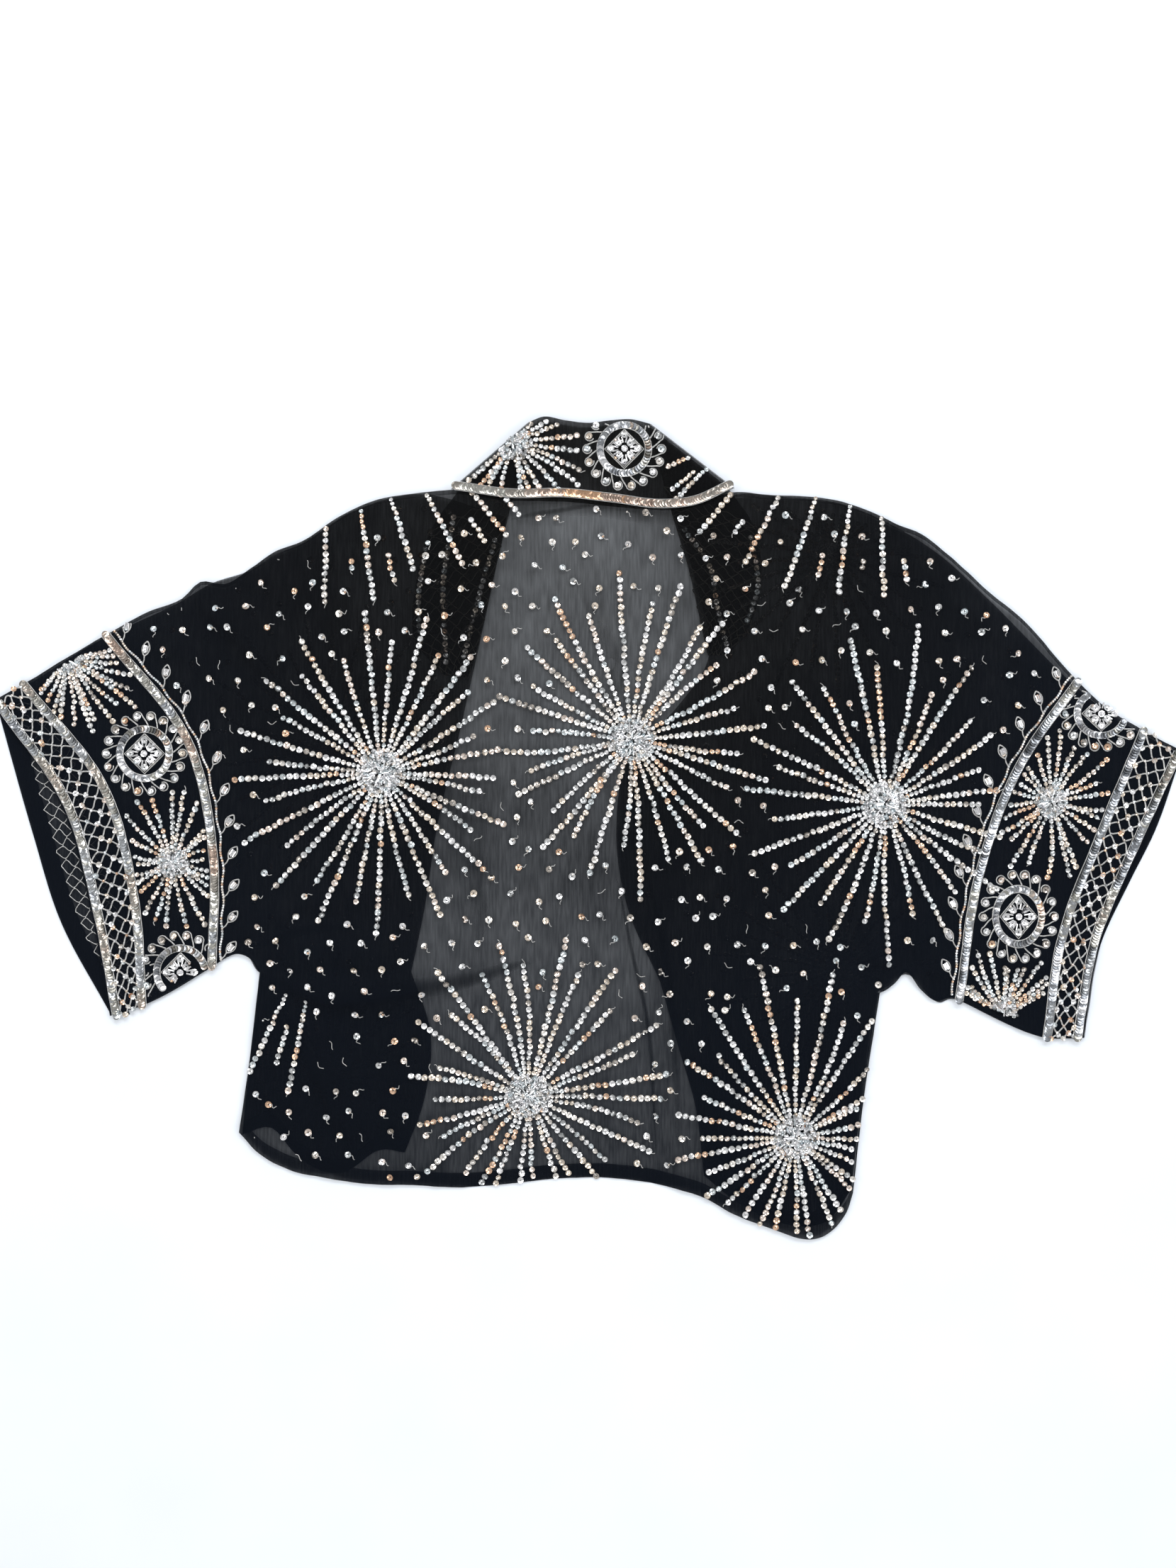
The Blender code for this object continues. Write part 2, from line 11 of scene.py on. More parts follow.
import bpy
import numpy as np
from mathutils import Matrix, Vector


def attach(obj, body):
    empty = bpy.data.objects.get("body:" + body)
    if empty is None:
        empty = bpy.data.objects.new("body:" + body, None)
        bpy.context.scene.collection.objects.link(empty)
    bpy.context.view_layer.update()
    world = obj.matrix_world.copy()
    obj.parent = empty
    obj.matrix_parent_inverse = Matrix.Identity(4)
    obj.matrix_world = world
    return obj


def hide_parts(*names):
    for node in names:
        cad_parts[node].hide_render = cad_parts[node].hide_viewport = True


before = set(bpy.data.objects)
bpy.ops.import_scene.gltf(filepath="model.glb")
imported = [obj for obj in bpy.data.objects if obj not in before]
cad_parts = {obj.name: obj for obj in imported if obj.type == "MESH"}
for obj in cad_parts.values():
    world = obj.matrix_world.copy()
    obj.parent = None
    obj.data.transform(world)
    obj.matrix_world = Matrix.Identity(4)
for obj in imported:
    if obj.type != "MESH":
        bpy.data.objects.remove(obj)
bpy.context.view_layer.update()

MM = 0.001
rng = np.random.default_rng(7)

# The photograph's frame in its pixels, and what one of them measures on the jacket
PHOTO_HEIGHT = 2212
MM_PER_PIXEL = 0.55
ORIGIN_ROW = 1167
LENS = 35.0
SENSOR = 36.0

# The solids' walls and gaps
BACK_WALL = 1.5
FRONT_WALL = 1.2
LAPEL_WALL = 1.0
COLLAR_WALL = 1.2
LAYER_GAP = 0.4
SEAM_GAP = 0.3
TRIM_WIDTH = 7.0
CUFF_MARGIN = 2.0
COLLAR_FALL_HEIGHT = 5.5
COLLAR_STAND_LIFT = 0.07
OPENING_RAMP = 22.0
OPENING_CLEARANCE = 15.5
LAPEL_CLEARANCE = 22.0
LAPEL_RAMP = 60.0
HEM_DEPTH = 11.0
CUFF_HEM_DEPTH = 15.0

# Mesh sizes: cells in millimetres, and counts of steps
BACK_CELL = 3.6
FRONT_CELL = 5.0
LINE_STEPS = 60
CREST_STEPS = 48
HEM_ROWS = 3
COLLAR_COLUMNS = 64
COLLAR_ROWS = 12
ROLL_STEPS = 8
LAPEL_ROWS = 40
LAPEL_COLUMNS = 12

# A panel's sections stand across it from cuff to cuff, or from cuff to front edge. The line named
# over goes from the shoulder edge down to the underarm's level, and below goes on to the hem.
Section = namedtuple("Section", "name over below", defaults=(None,))

BACK_SECTIONS = [
    Section("left cuff", [(-462, 97), (-407, 16), (-385, -65), (-370, -146)]),
    Section("left middle trim", [(-437, 111), (-373, 28), (-351, -55), (-345, -138)]),
    Section("left inner trim", [(-373, 149), (-308, 63), (-290, -22), (-291, -108)]),
    Section("left forearm", [(-340, 167), (-292, 68), (-278, -18), (-280, -101)]),
    Section("left pucker start", [(-314, 177), (-281, 72), (-269, -16), (-272, -98)]),
    Section("left pucker", [(-300, 190), (-276, 80), (-264, -14), (-266, -99)]),
    Section("left pucker end", [(-281, 188), (-270, 90), (-260, -103)]),
    Section("left side", [(-262, 200), (-254, -112)], [(-262, -180), (-270, -236)]),
    Section("left corner", [(-243, 213), (-238, -113)], [(-254, -253)]),
    Section("left hem", [(-222, 221), (-218, -114)], [(-232, -265)]),
    Section("left shoulder", [(-195, 239), (-192, -115)], [(-205, -271)]),
    Section("left shoulder crown", [(-165, 253), (-162, -116)], [(-172, -276)]),
    Section("left blade", [(-135, 258), (-130, -118)], [(-136, -277)]),
    Section("left neck point", [(-103, 261), (-98, -119)], [(-100, -279)]),
    Section("left neck", [(-60, 256), (-58, -120)], [(-60, -276)]),
    Section("centre left", [(-20, 256), (-20, -121)], [(-20, -272)]),
    Section("centre right", [(20, 252), (20, -122)], [(20, -272)]),
    Section("right neck", [(60, 249), (58, -123)], [(60, -278)]),
    Section("right neck side", [(85, 251), (85, -124)], [(88, -286)]),
    Section("right neck point", [(112, 259), (110, -125)], [(112, -299)]),
    Section("right blade", [(140, 257), (138, -126)], [(140, -310)]),
    Section("right shoulder crown", [(170, 256), (165, -127)], [(170, -319)]),
    Section("right shoulder", [(197, 252), (190, -127)], [(188, -313)]),
    Section("right corner", [(222, 243), (210, -127)], [(200, -298)]),
    Section("right side", [(240, 234), (226, -128)], [(214, -205), (205, -283)]),
    Section("right scallop", [(258, 227), (237, -121)]),
    Section("right underarm", [(275, 214), (246, -112)]),
    Section("right droop start", [(292, 199), (257, -125)]),
    Section("right droop", [(310, 182), (290, 75), (274, -30), (268, -134)]),
    Section("right forearm", [(335, 162), (304, 65), (283, -30), (279, -132)]),
    Section("right inner trim", [(379, 113), (333, 46), (303, -35), (287, -134)]),
    Section("right middle trim", [(430, 75), (398, -2), (367, -84), (355, -163)]),
    Section("right cuff", [(462, 58), (428, -15), (397, -90), (384, -163)]),
]

LEFT_FRONT_EDGE = [(-63, 240), (-80, 160), (-98, 80), (-117, 0), (-128, -70), (-137, -112)]
LEFT_FRONT_EDGE_BELOW = [(-122, -160), (-128, -215), (-142, -252)]
RIGHT_FRONT_EDGE = [
    (66, 244), (84, 188), (93, 130), (68, 92), (32, 55), (22, 0), (30, -60), (56, -120)
]
RIGHT_FRONT_EDGE_BELOW = [(70, -170), (83, -215), (90, -270)]

LEFT_FRONT_SECTIONS = [
    Section("cuff", [(-459, 97), (-430, -6), (-410, -70), (-370, -145)]),
    Section("middle trim", [(-435, 110), (-384, 24), (-356, -57), (-345, -137)]),
    Section("inner trim", [(-373, 148), (-314, 62), (-292, -22), (-291, -107)]),
    Section("pucker", [(-314, 176), (-288, 72), (-273, -14), (-272, -98)]),
    Section("pucker end", [(-294, 188), (-278, 74), (-266, -12), (-264, -100)]),
    Section("side", [(-262, 199), (-254, -113)], [(-262, -180), (-268, -238)]),
    Section("hollow", [(-240, 212), (-238, -113)], [(-245, -233)]),
    Section("side hem", [(-222, 220), (-222, -113)], [(-228, -252)]),
    Section("shoulder", [(-180, 246), (-184, -112)], [(-192, -268)]),
    Section("neck point", [(-130, 258), (-158, -112)], [(-164, -251)]),
    Section("front edge", LEFT_FRONT_EDGE, LEFT_FRONT_EDGE_BELOW),
]

RIGHT_FRONT_SECTIONS = [
    Section("front edge", RIGHT_FRONT_EDGE, RIGHT_FRONT_EDGE_BELOW),
    Section("neck point", [(116, 258), (100, -123)], [(118, -292)]),
    Section("shoulder crown", [(150, 256), (146, -124)], [(150, -307)]),
    Section("shoulder", [(195, 251), (188, -125)], [(184, -306)]),
    Section("side", [(238, 233), (225, -127)], [(213, -205), (204, -281)]),
    Section("underarm", [(270, 213), (246, -114)]),
    Section("droop", [(308, 179), (268, -134)]),
    Section("inner trim", [(377, 110), (331, 40), (303, -38), (287, -134)]),
    Section("middle trim", [(429, 73), (396, -6), (367, -84), (355, -163)]),
    Section("cuff", [(460, 56), (439, -4), (420, -42), (397, -92), (384, -163)]),
]

# Each lapel is a strip between its outer line and the neckline that it is sewn to.
Strip = namedtuple("Strip", "outer inner")
LEFT_LAPEL = Strip(
    [(-99, 263), (-122, 230), (-134, 185), (-134, 145), (-112, 118)],
    [(-45, 312), (-62, 240), (-73, 195), (-83, 150), (-92, 116)],
)
RIGHT_LAPEL = Strip(
    [(47, 311), (66, 240), (78, 200), (87, 160), (93, 133)],
    [(108, 264), (129, 232), (134, 192), (126, 158), (109, 134)],
)

# The collar's lower edge, which carries its trim, and the fold along its top.
COLLAR_EDGE = [(-106, 261), (-60, 254), (-20, 254), (20, 250), (60, 246), (85, 249), (113, 262)]
COLLAR_FOLD = [(-47, 312), (-36, 316), (-18, 313), (0, 311), (18, 313), (34, 314), (49, 311)]

# A soft ridge of cloth along a crest. It is as wide as reach on each side, and wider by its lean on
# the side to the left of the crest's direction. A negative height is a trough.
Fold = namedtuple("Fold", "name crest height reach lean", defaults=(0.0,))
FOLDS = [
    Fold("left arm roll", [(-246, -100), (-195, -94), (-140, -104)], 7.0, 17),
    Fold("left waist drape", [(-236, -124), (-165, -130), (-60, -98)], 6.0, 17, 0.3),
    Fold("left sleeve drape", [(-272, -84), (-225, -58), (-175, -52)], 4.5, 17, 0.3),
    Fold("left side drape", [(-200, -166), (-192, -206), (-168, -250)], 5.5, 17, 0.2),
    Fold("shoulder pucker", [(-298, 182), (-272, 160), (-234, 120)], 6.5, 16),
    Fold("forearm pucker", [(-340, 152), (-302, 132), (-262, 92)], 4.5, 16),
    Fold("overarm drape", [(-250, 178), (-215, 178), (-176, 170)], 3.5, 17),
    Fold("left neck ripple", [(-96, 222), (-50, 212), (-4, 220)], 3.0, 16),
    Fold("right pleat inner", [(12, -70), (28, -150), (40, -236)], 3.6, 15, -0.3),
    Fold("right pleat outer", [(66, -100), (72, -180), (88, -250)], 4.2, 15, -0.3),
    Fold("right hip roll", [(192, -100), (190, -155), (178, -215)], 5.5, 17),
    Fold("right hip ripple", [(146, -96), (150, -140), (146, -190)], 3.2, 16),
    Fold("right underarm ripple", [(230, -110), (222, -82), (212, -46)], 4.6, 15),
    Fold("right underarm droop", [(270, -122), (264, -90), (252, -50)], 5.5, 16),
    Fold("right arm drape", [(250, 62), (266, 96), (292, 134)], 3.6, 17),
    Fold("right overarm roll", [(246, 210), (308, 158), (346, 116)], 3.6, 16),
    Fold("centre ripple", [(-90, 60), (-96, -10), (-84, -66)], 2.6, 17),
]
FADE_START = 0.2
FADE_SHARE = 0.3
FOLD_ROOM = 3.5

# Creases that are too narrow for the solids
CREASES = [
    Fold("arm crease", [(-258, -98), (-230, -84), (-190, -75)], 1.6, 4.0),
    Fold("waist crease", [(-255, -107), (-200, -135), (-150, -128), (-45, -95)], 2.0, 4.5),
    Fold("side crease", [(-222, -170), (-208, -195), (-190, -240)], 1.6, 4.0),
    Fold("pucker crease", [(-305, 184), (-290, 165), (-270, 145), (-235, 100)], 1.8, 4.0),
    Fold("forearm crease", [(-330, 148), (-315, 152), (-292, 160)], 1.2, 3.5),
    Fold("shoulder crease", [(-245, 152), (-210, 158), (-176, 160)], 1.2, 4.0),
    Fold("yoke crease", [(-252, 194), (-220, 190), (-196, 196)], 1.2, 3.5),
    Fold("inner pleat", [(25, -50), (33, -100), (40, -140), (50, -255)], 1.5, 3.0),
    Fold("middle pleat", [(48, -30), (57, -80), (65, -180), (70, -240)], 1.5, 3.0),
    Fold("outer pleat", [(97, -190), (99, -225), (98, -262)], 1.2, 3.0),
    Fold("pleat trough", [(38, -60), (46, -110), (56, -200), (60, -262)], -0.9, 3.5),
    Fold("hip valley", [(168, -115), (170, -160), (172, -205)], -1.0, 4.5),
    Fold("hip crease", [(208, -108), (210, -140), (226, -172)], 1.6, 4.0),
    Fold("underarm crease", [(246, -108), (222, -102), (198, -100)], 1.4, 4.0),
    Fold("arm crease right", [(262, 45), (272, 22), (276, 8)], 1.2, 3.5),
    Fold("overarm crease", [(280, 180), (312, 150), (340, 120)], 1.4, 4.0),
    Fold("blade crease", [(244, 102), (232, 94), (218, 90)], 1.1, 3.5),
    Fold("neck shadow crease", [(-98, 250), (-60, 238), (-36, 242), (-4, 246)], 1.0, 3.5),
    Fold("centre crease", [(-70, -20), (-66, -60), (-74, -100)], 0.9, 3.5),
    Fold("lower centre crease", [(-14, -104), (-8, -140), (-16, -176)], 0.9, 3.5),
]

# Where a fold lies over double, from its line to its left, and how much it hides. These strips are
# painted shade: their alpha fades to nothing at their edges and ends, so they darken the cloth
# along its folds. The neck strips paint the collar's shadow and a crease below its trim, and the
# opening and centre strips paint broad soft shade.
PleatShade = namedtuple("PleatShade", "name line width cover")
WAIST_PLEAT = [(-252, -118), (-200, -140), (-140, -134), (-90, -124), (-44, -106)]
PLEAT_SHADES = [
    PleatShade("pleat_shade_waist", WAIST_PLEAT, 17, 0.7),
    PleatShade("pleat_shade_arm", [(-262, -96), (-220, -84), (-176, -78)], 9, 0.6),
    PleatShade("pleat_shade_side", [(-226, -160), (-210, -200), (-178, -238)], 9, 0.6),
    PleatShade("pleat_shade_inner", [(22, -40), (33, -100), (42, -140), (52, -250)], 4, 0.7),
    PleatShade("pleat_shade_middle", [(42, -30), (55, -90), (64, -180), (68, -240)], 8, 0.6),
    PleatShade("pleat_shade_outer", [(90, -150), (96, -210), (97, -262)], 5, 0.6),
    # Painted shadow of the collar below its trim, and of a crease there
    PleatShade("shadow_neck", [(-104, 240), (-60, 238), (0, 241), (60, 234), (92, 236)], 18, 0.3),
    PleatShade("shadow_neck_crease", [(-60, 237), (-28, 242), (6, 249)], 5, 0.45),
    # Painted broad shade over the opening and the centre
    PleatShade("shade_opening", [(-84, 20), (-92, -30), (-86, -90)], 14, 0.22),
    PleatShade("shade_centre", [(8, 160), (16, 110), (12, 30)], 16, 0.2),
]
PLEAT_COLUMNS = 6
PLEAT_DEPTH = 0.8

# Ripples all over the cloth: how high, how long from crest to crest, and which way they run
Ripple = namedtuple("Ripple", "height length heading")
RIPPLES = [Ripple(0.35, 47, 12), Ripple(0.28, 31, 71), Ripple(0.22, 19, -38), Ripple(0.16, 11, 4)]
RIPPLE_DRIFT = 2.2


def ease(share):
    """Eases from 0 to 1 as the share goes from 0 to 1."""
    share = np.clip(share, 0, 1)
    return share * share * (3 - 2 * share)


def curve(points, knots, where):
    """Points at the given distances on the smooth curve through the points, which are at knots."""
    points, knots, where = (np.asarray(each, float) for each in (points, knots, where))
    spans = np.diff(knots)[:, None]
    chords = np.diff(points, axis=0) / spans
    means = (chords[:-1] * spans[1:] + chords[1:] * spans[:-1]) / (spans[1:] + spans[:-1])
    slopes = np.vstack([chords[:1], means, chords[-1:]])
    index = np.clip(np.searchsorted(knots, where, side="right") - 1, 0, len(spans) - 1)
    span = spans[index]
    share = (where - knots[index])[:, None] / span
    eased = share * share * (3 - 2 * share)
    start = points[index] * (1 - eased) + slopes[index] * share * (1 - share) ** 2 * span
    return start + points[index + 1] * eased - slopes[index + 1] * share**2 * (1 - share) * span


def heading(angles):
    """The unit direction at each angle."""
    return np.stack([np.cos(angles), np.sin(angles)], axis=-1)


def knots_of(line):
    return np.concatenate([[0], np.cumsum(np.linalg.norm(np.diff(line, axis=0), axis=1))])


def along(line, count):
    """Count + 1 points, equally spaced along a smooth line through the given ones."""
    knots = knots_of(line)
    return curve(line, knots, np.linspace(0, knots[-1], count + 1))


def spaced(line, pitch):
    """Points about a pitch apart along a line of closely set points."""
    knots = knots_of(line)
    where = np.linspace(0, knots[-1], max(2, round(knots[-1] / pitch)) + 1)
    return np.column_stack([np.interp(where, knots, line[:, axis]) for axis in (0, 1)])


def directions(line):
    """The unit direction of a line at each of its points."""
    way = np.gradient(line, axis=0)
    return way / np.linalg.norm(way, axis=1)[:, None]


def across(line):
    """The unit direction to the left of a line at each of its points."""
    way = directions(line)
    return np.column_stack([-way[:, 1], way[:, 0]])


def x_on(line, y):
    """Where a line that runs down the jacket crosses each height."""
    line = np.array(line, float)
    return np.interp(-y, -line[:, 1], line[:, 0])


def section_line(sections, name, shift=0.0):
    """The closely set points of a section's upper line, moved across the jacket."""
    (section,) = [each for each in sections if each.name == name]
    return along(section.over, LINE_STEPS) + (shift, 0)


class Panel:
    """A grid of points over a panel: columns from cuff to cuff, rows from shoulder to hem."""

    def __init__(self, sections, cell):
        body = [section for section in sections if section.below]
        steps = [self.mean_distance(a.over, b.over) for a, b in zip(sections, sections[1:])]
        knots = np.concatenate([[0], np.cumsum(steps)])
        counts = [max(1, round(step / cell)) for step in steps]
        places = np.concatenate(
            [np.linspace(a, b, n, endpoint=False) for a, b, n in zip(knots, knots[1:], counts)]
            + [knots[-1:]]
        )
        starts = np.concatenate([[0], np.cumsum(counts)])
        first, last = (int(starts[sections.index(body[end])]) for end in (0, -1))
        arm_rows = self.most_cells([section.over for section in sections], cell)
        low_lines = [section.over[-1:] + section.below for section in body]
        low_rows = self.most_cells(low_lines, cell) + HEM_ROWS
        upper = self.fill(knots, places, [along(section.over, arm_rows) for section in sections])
        low_knots = [knots[sections.index(section)] for section in body]
        low_lines = [self.hem_points(line, low_rows) for line in low_lines]
        lower = self.fill(low_knots, places[first : last + 1], low_lines)
        self.grid = np.full((len(places), arm_rows + low_rows + 1, 2), np.nan)
        self.grid[:, : arm_rows + 1] = upper
        self.grid[first : last + 1, arm_rows + 1 :] = lower[:, 1:]
        self.outline = np.vstack([
            self.grid[:, 0],
            self.grid[-1, 1:arm_rows],
            self.grid[: last - 1 : -1, arm_rows],
            self.grid[last, arm_rows + 1 :],
            self.grid[last - 1 : first : -1, -1],
            self.grid[first, : arm_rows : -1],
            self.grid[first::-1, arm_rows],
            self.grid[0, arm_rows - 1 : 0 : -1],
        ])
        self.hem = self.grid[first : last + 1, -HEM_ROWS - 1 :]
        self.rims = [
            self.grid[:, :2],
            self.grid[: first + 1, arm_rows - 1 : arm_rows + 1],
            self.grid[last:, arm_rows - 1 : arm_rows + 1],
            self.grid[first : first + 2, arm_rows:],
            self.grid[last - 1 : last + 1, arm_rows:],
        ]

    @staticmethod
    def mean_distance(line, other):
        return (math.dist(line[0], other[0]) + math.dist(line[-1], other[-1])) / 2

    @staticmethod
    def most_cells(lines, cell):
        return max(round(math.dist(line[0], line[-1]) / cell) for line in lines)

    @staticmethod
    def fill(knots, places, lines):
        """The rows of points between the lines, which stand at the knots."""
        lines = np.array(lines)
        flat = curve(lines.reshape(len(lines), -1), knots, places)
        return flat.reshape(len(places), -1, 2)

    @staticmethod
    def hem_points(line, rows):
        """Rows down to the hem, the last few over the depth that the hem is turned."""
        hem_share = HEM_DEPTH / math.dist(line[0], line[-1])
        above = np.linspace(0, 1 - hem_share, rows - HEM_ROWS, endpoint=False)
        shares = np.concatenate([above, np.linspace(1 - hem_share, 1, HEM_ROWS + 1)])
        knots = knots_of(line)
        return curve(line, knots, shares * knots[-1])


def depth_in(points, outline):
    """How far inside a closed outline each point lies, negative outside it."""
    start, end = outline, np.roll(outline, -1, axis=0)
    side = end - start
    length = np.maximum((side**2).sum(1), 1e-9)
    gap = points[:, None] - start
    share = np.clip((gap * side).sum(2) / length, 0, 1)
    distance = np.linalg.norm(gap - share[..., None] * side, axis=2).min(1)
    below = start[:, 1] > points[:, 1, None]
    crosses = below != (end[:, 1] > points[:, 1, None])
    rise = np.where(np.abs(side[:, 1]) < 1e-9, 1e-9, side[:, 1])
    beyond = points[:, 0, None] < start[:, 0] + gap[..., 1] / rise * side[:, 0]
    within = (crosses & beyond).sum(1) % 2 == 1
    return np.where(within, distance, -distance)


def fold_heights(points, folds):
    """How high each fold's ridge stands at each point. A ridge fades at both ends of its crest."""
    heights = np.zeros((len(folds), len(points)))
    for fold, ridge in zip(folds, heights):
        crest = along(fold.crest, CREST_STEPS)
        room = FOLD_ROOM * fold.reach
        near = ((points > crest.min(0) - room) & (points < crest.max(0) + room)).all(1)
        gaps = np.linalg.norm(points[near, None] - crest, axis=2)
        nearest = gaps.argmin(1)
        offset = points[near] - crest[nearest]
        side = np.sign((across(crest)[nearest] * offset).sum(1))
        reach = fold.reach * (1 + side * fold.lean)
        end = np.minimum(nearest, CREST_STEPS - nearest) / CREST_STEPS
        ridge[near] = np.exp(-((gaps.min(1) / reach) ** 2)) * ease(FADE_START + end / FADE_SHARE)
        ridge *= fold.height
    return heights


def ripples(points):
    total = np.zeros(len(points))
    for ripple in RIPPLES:
        turn = math.radians(ripple.heading)
        phase = points @ heading(turn) * 2 * math.pi / ripple.length
        drift = np.sin(points @ heading(turn - math.pi / 2) / ripple.length)
        total += ripple.height * np.sin(phase + RIPPLE_DRIFT * drift)
    return total


def over_lapels(points):
    """1 where a front lies on a lapel, easing to 0 well clear of it."""
    x, y = points.T
    outside = np.maximum(x_on(LEFT_LAPEL.outer, y) - x, x - x_on(RIGHT_LAPEL.inner, y))
    beneath = np.maximum(LEFT_LAPEL.outer[-1][1] - y, 0)
    return 1 - ease((np.hypot(np.maximum(outside, 0), beneath) - LAPEL_CLEARANCE) / LAPEL_RAMP)


def front_height(points):
    """The height of the fronts' cloth, on the lapels and down to the surface around them."""
    return (LAPEL_WALL + SEAM_GAP) * over_lapels(points) + FRONT_WALL


def back_height(points):
    """The height of the back's cloth, on the fronts and down over the opening between them."""
    x, y = points.T
    left = x_on(LEFT_FRONT_EDGE + LEFT_FRONT_EDGE_BELOW, y)
    right = x_on(RIGHT_FRONT_EDGE + RIGHT_FRONT_EDGE_BELOW, y)
    opened = np.minimum(x - left, right - x)
    covered = 1 - ease((opened - OPENING_CLEARANCE) / OPENING_RAMP)
    lying = covered * (front_height(points) + LAYER_GAP) + BACK_WALL
    folded = fold_heights(points, FOLDS).max(0) + fold_heights(points, CREASES).sum(0)
    return lying + folded + ripples(points)


def collar_height(points):
    return np.full(len(points), COLLAR_FALL_HEIGHT + COLLAR_WALL / 2)


def lapel_height(points):
    return np.full(len(points), LAPEL_WALL)


def make_object(name, vertices, faces, materials, smooth):
    """A shown piece from millimetre points and faces."""
    mesh = bpy.data.meshes.new(name)
    mesh.from_pydata((np.asarray(vertices) * MM).tolist(), [], faces)
    for material in materials:
        mesh.materials.append(material)
    if smooth:
        mesh.shade_smooth()
    piece = bpy.data.objects.new(name, mesh)
    bpy.context.scene.collection.objects.link(piece)
    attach(piece, "root")
    return piece


def add_attribute(piece, name, values):
    """A number at each point of a piece, which its material reads."""
    attribute = piece.data.attributes.new(name, "FLOAT", "POINT")
    attribute.data.foreach_set("value", np.asarray(values, np.float32))


def corners_of(grid):
    """The values of a grid at the four corners of each of its cells."""
    return grid[:-1, :-1], grid[:-1, 1:], grid[1:, 1:], grid[1:, :-1]


def shell(name, grid, material):
    """A thin cloth over a grid of points in space, some of which may be missing."""
    there = ~np.isnan(grid[..., 0])
    ids = np.cumsum(there).reshape(there.shape) - 1
    full = np.all(corners_of(there), axis=0)
    faces = np.stack([corner[full] for corner in corners_of(ids)], axis=1)
    piece = make_object(name, grid[there], faces.tolist(), [material], True)
    return piece


def grid_shell(name, grid, height, material, lift=0.0):
    """A thin cloth over a plan's grid of points, at their heights."""
    points = grid.reshape(-1, 2)
    there = ~np.isnan(points[:, 0])
    heights = np.full(len(points), np.nan)
    heights[there] = height(points[there]) + lift
    return shell(name, np.dstack([grid, heights.reshape(grid.shape[:2])]), material)


def build_cloth(material, front_material, fold_shade_material):
    """All cloth but the collar's. Returns the outlines of the back and of the two fronts."""
    back = Panel(BACK_SECTIONS, BACK_CELL)
    cloth = grid_shell("cloth_back", back.grid, back_height, material)
    hem = grid_shell("hem_back", back.hem, back_height, material, -LAYER_GAP)
    rims = [
        grid_shell(f"rim_back_{number}", rim, back_height, material, -LAYER_GAP)
        for number, rim in enumerate(back.rims)
    ]
    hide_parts("back")
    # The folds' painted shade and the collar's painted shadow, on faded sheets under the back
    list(build_pleat_shades(fold_shade_material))
    left = build_front("left", LEFT_FRONT_SECTIONS, front_material)
    right = build_front("right", RIGHT_FRONT_SECTIONS, front_material)
    build_lapel("lapel_left", LEFT_LAPEL, material)
    build_lapel("lapel_right", RIGHT_LAPEL, material)
    return back.outline, left, right


def build_pleat_shades(material):
    """Sheets under the back along the folds, whose alpha fades towards their edges and ends: the
    folds' painted shade, and at the neck the collar's painted shadow.
    """
    strips = []
    for pleat in PLEAT_SHADES:
        line = along(pleat.line, LINE_STEPS)
        swell = np.sqrt(np.sin(np.linspace(0.02, math.pi - 0.02, len(line)))) * pleat.width
        shares = np.linspace(0, 1, PLEAT_COLUMNS + 1)[:, None, None]
        grid = line + shares * (across(line) * swell[:, None])
        strip = grid_shell(pleat.name, grid, back_height, material, -PLEAT_DEPTH)
        # How much painted shade each point of a strip carries: most along its middle, none at its
        # edges and ends
        fold_shade = np.outer(np.sin(shares.ravel() * math.pi), swell / pleat.width) * pleat.cover
        add_attribute(strip, "fold_shade", fold_shade.ravel())
        strips.append(strip)
    return strips


def build_front(side, sections, material):
    """A front with its turned hems. Returns its outline."""
    panel = Panel(sections, FRONT_CELL)
    cloth = grid_shell("cloth_front_" + side, panel.grid, front_height, material)
    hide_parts("front_" + side)
    cuff = section_line(sections, "cuff")
    inward = (CUFF_HEM_DEPTH if side == "left" else -CUFF_HEM_DEPTH / 2, 0)
    shares = np.linspace(0, 1, HEM_ROWS + 1)
    strip = cuff[None] + shares[:, None, None] * np.array(inward)
    cuff_hem = grid_shell("hem_cuff_" + side, strip, front_height, material, -LAYER_GAP)
    hem = grid_shell("hem_front_" + side, panel.hem, front_height, material, -LAYER_GAP)
    return panel.outline


def build_lapel(node, strip, material):
    outer, inner = along(strip.outer, LAPEL_ROWS), along(strip.inner, LAPEL_ROWS)
    shares = np.linspace(0, 1, LAPEL_COLUMNS + 1)[:, None, None]
    cloth = grid_shell("cloth_" + node, outer + shares * (inner - outer), lapel_height, material)
    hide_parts(node)


def collar_section(low, high):
    """A line over the collar: up its turned-down layer, around the roll, and down the stand."""
    stand_height = LAPEL_WALL + SEAM_GAP + COLLAR_WALL
    top = COLLAR_FALL_HEIGHT + COLLAR_WALL / 2
    roll = (top - stand_height) / 2
    run = math.dist(low, high)
    shares = np.linspace(0, 1, COLLAR_ROWS + 1)
    angles = np.linspace(0, math.pi, ROLL_STEPS + 1)[1:-1]
    beyond = 1 + roll * np.sin(angles) / run
    stand = 1 - (1 - COLLAR_STAND_LIFT) * shares
    where = np.concatenate([shares, beyond, stand])
    heights = np.concatenate([
        np.full(COLLAR_ROWS + 1, top),
        top - roll * (1 - np.cos(angles)),
        np.full(COLLAR_ROWS + 1, stand_height),
    ])
    places = low + where[:, None] * (high - low)
    return np.column_stack([places, heights])


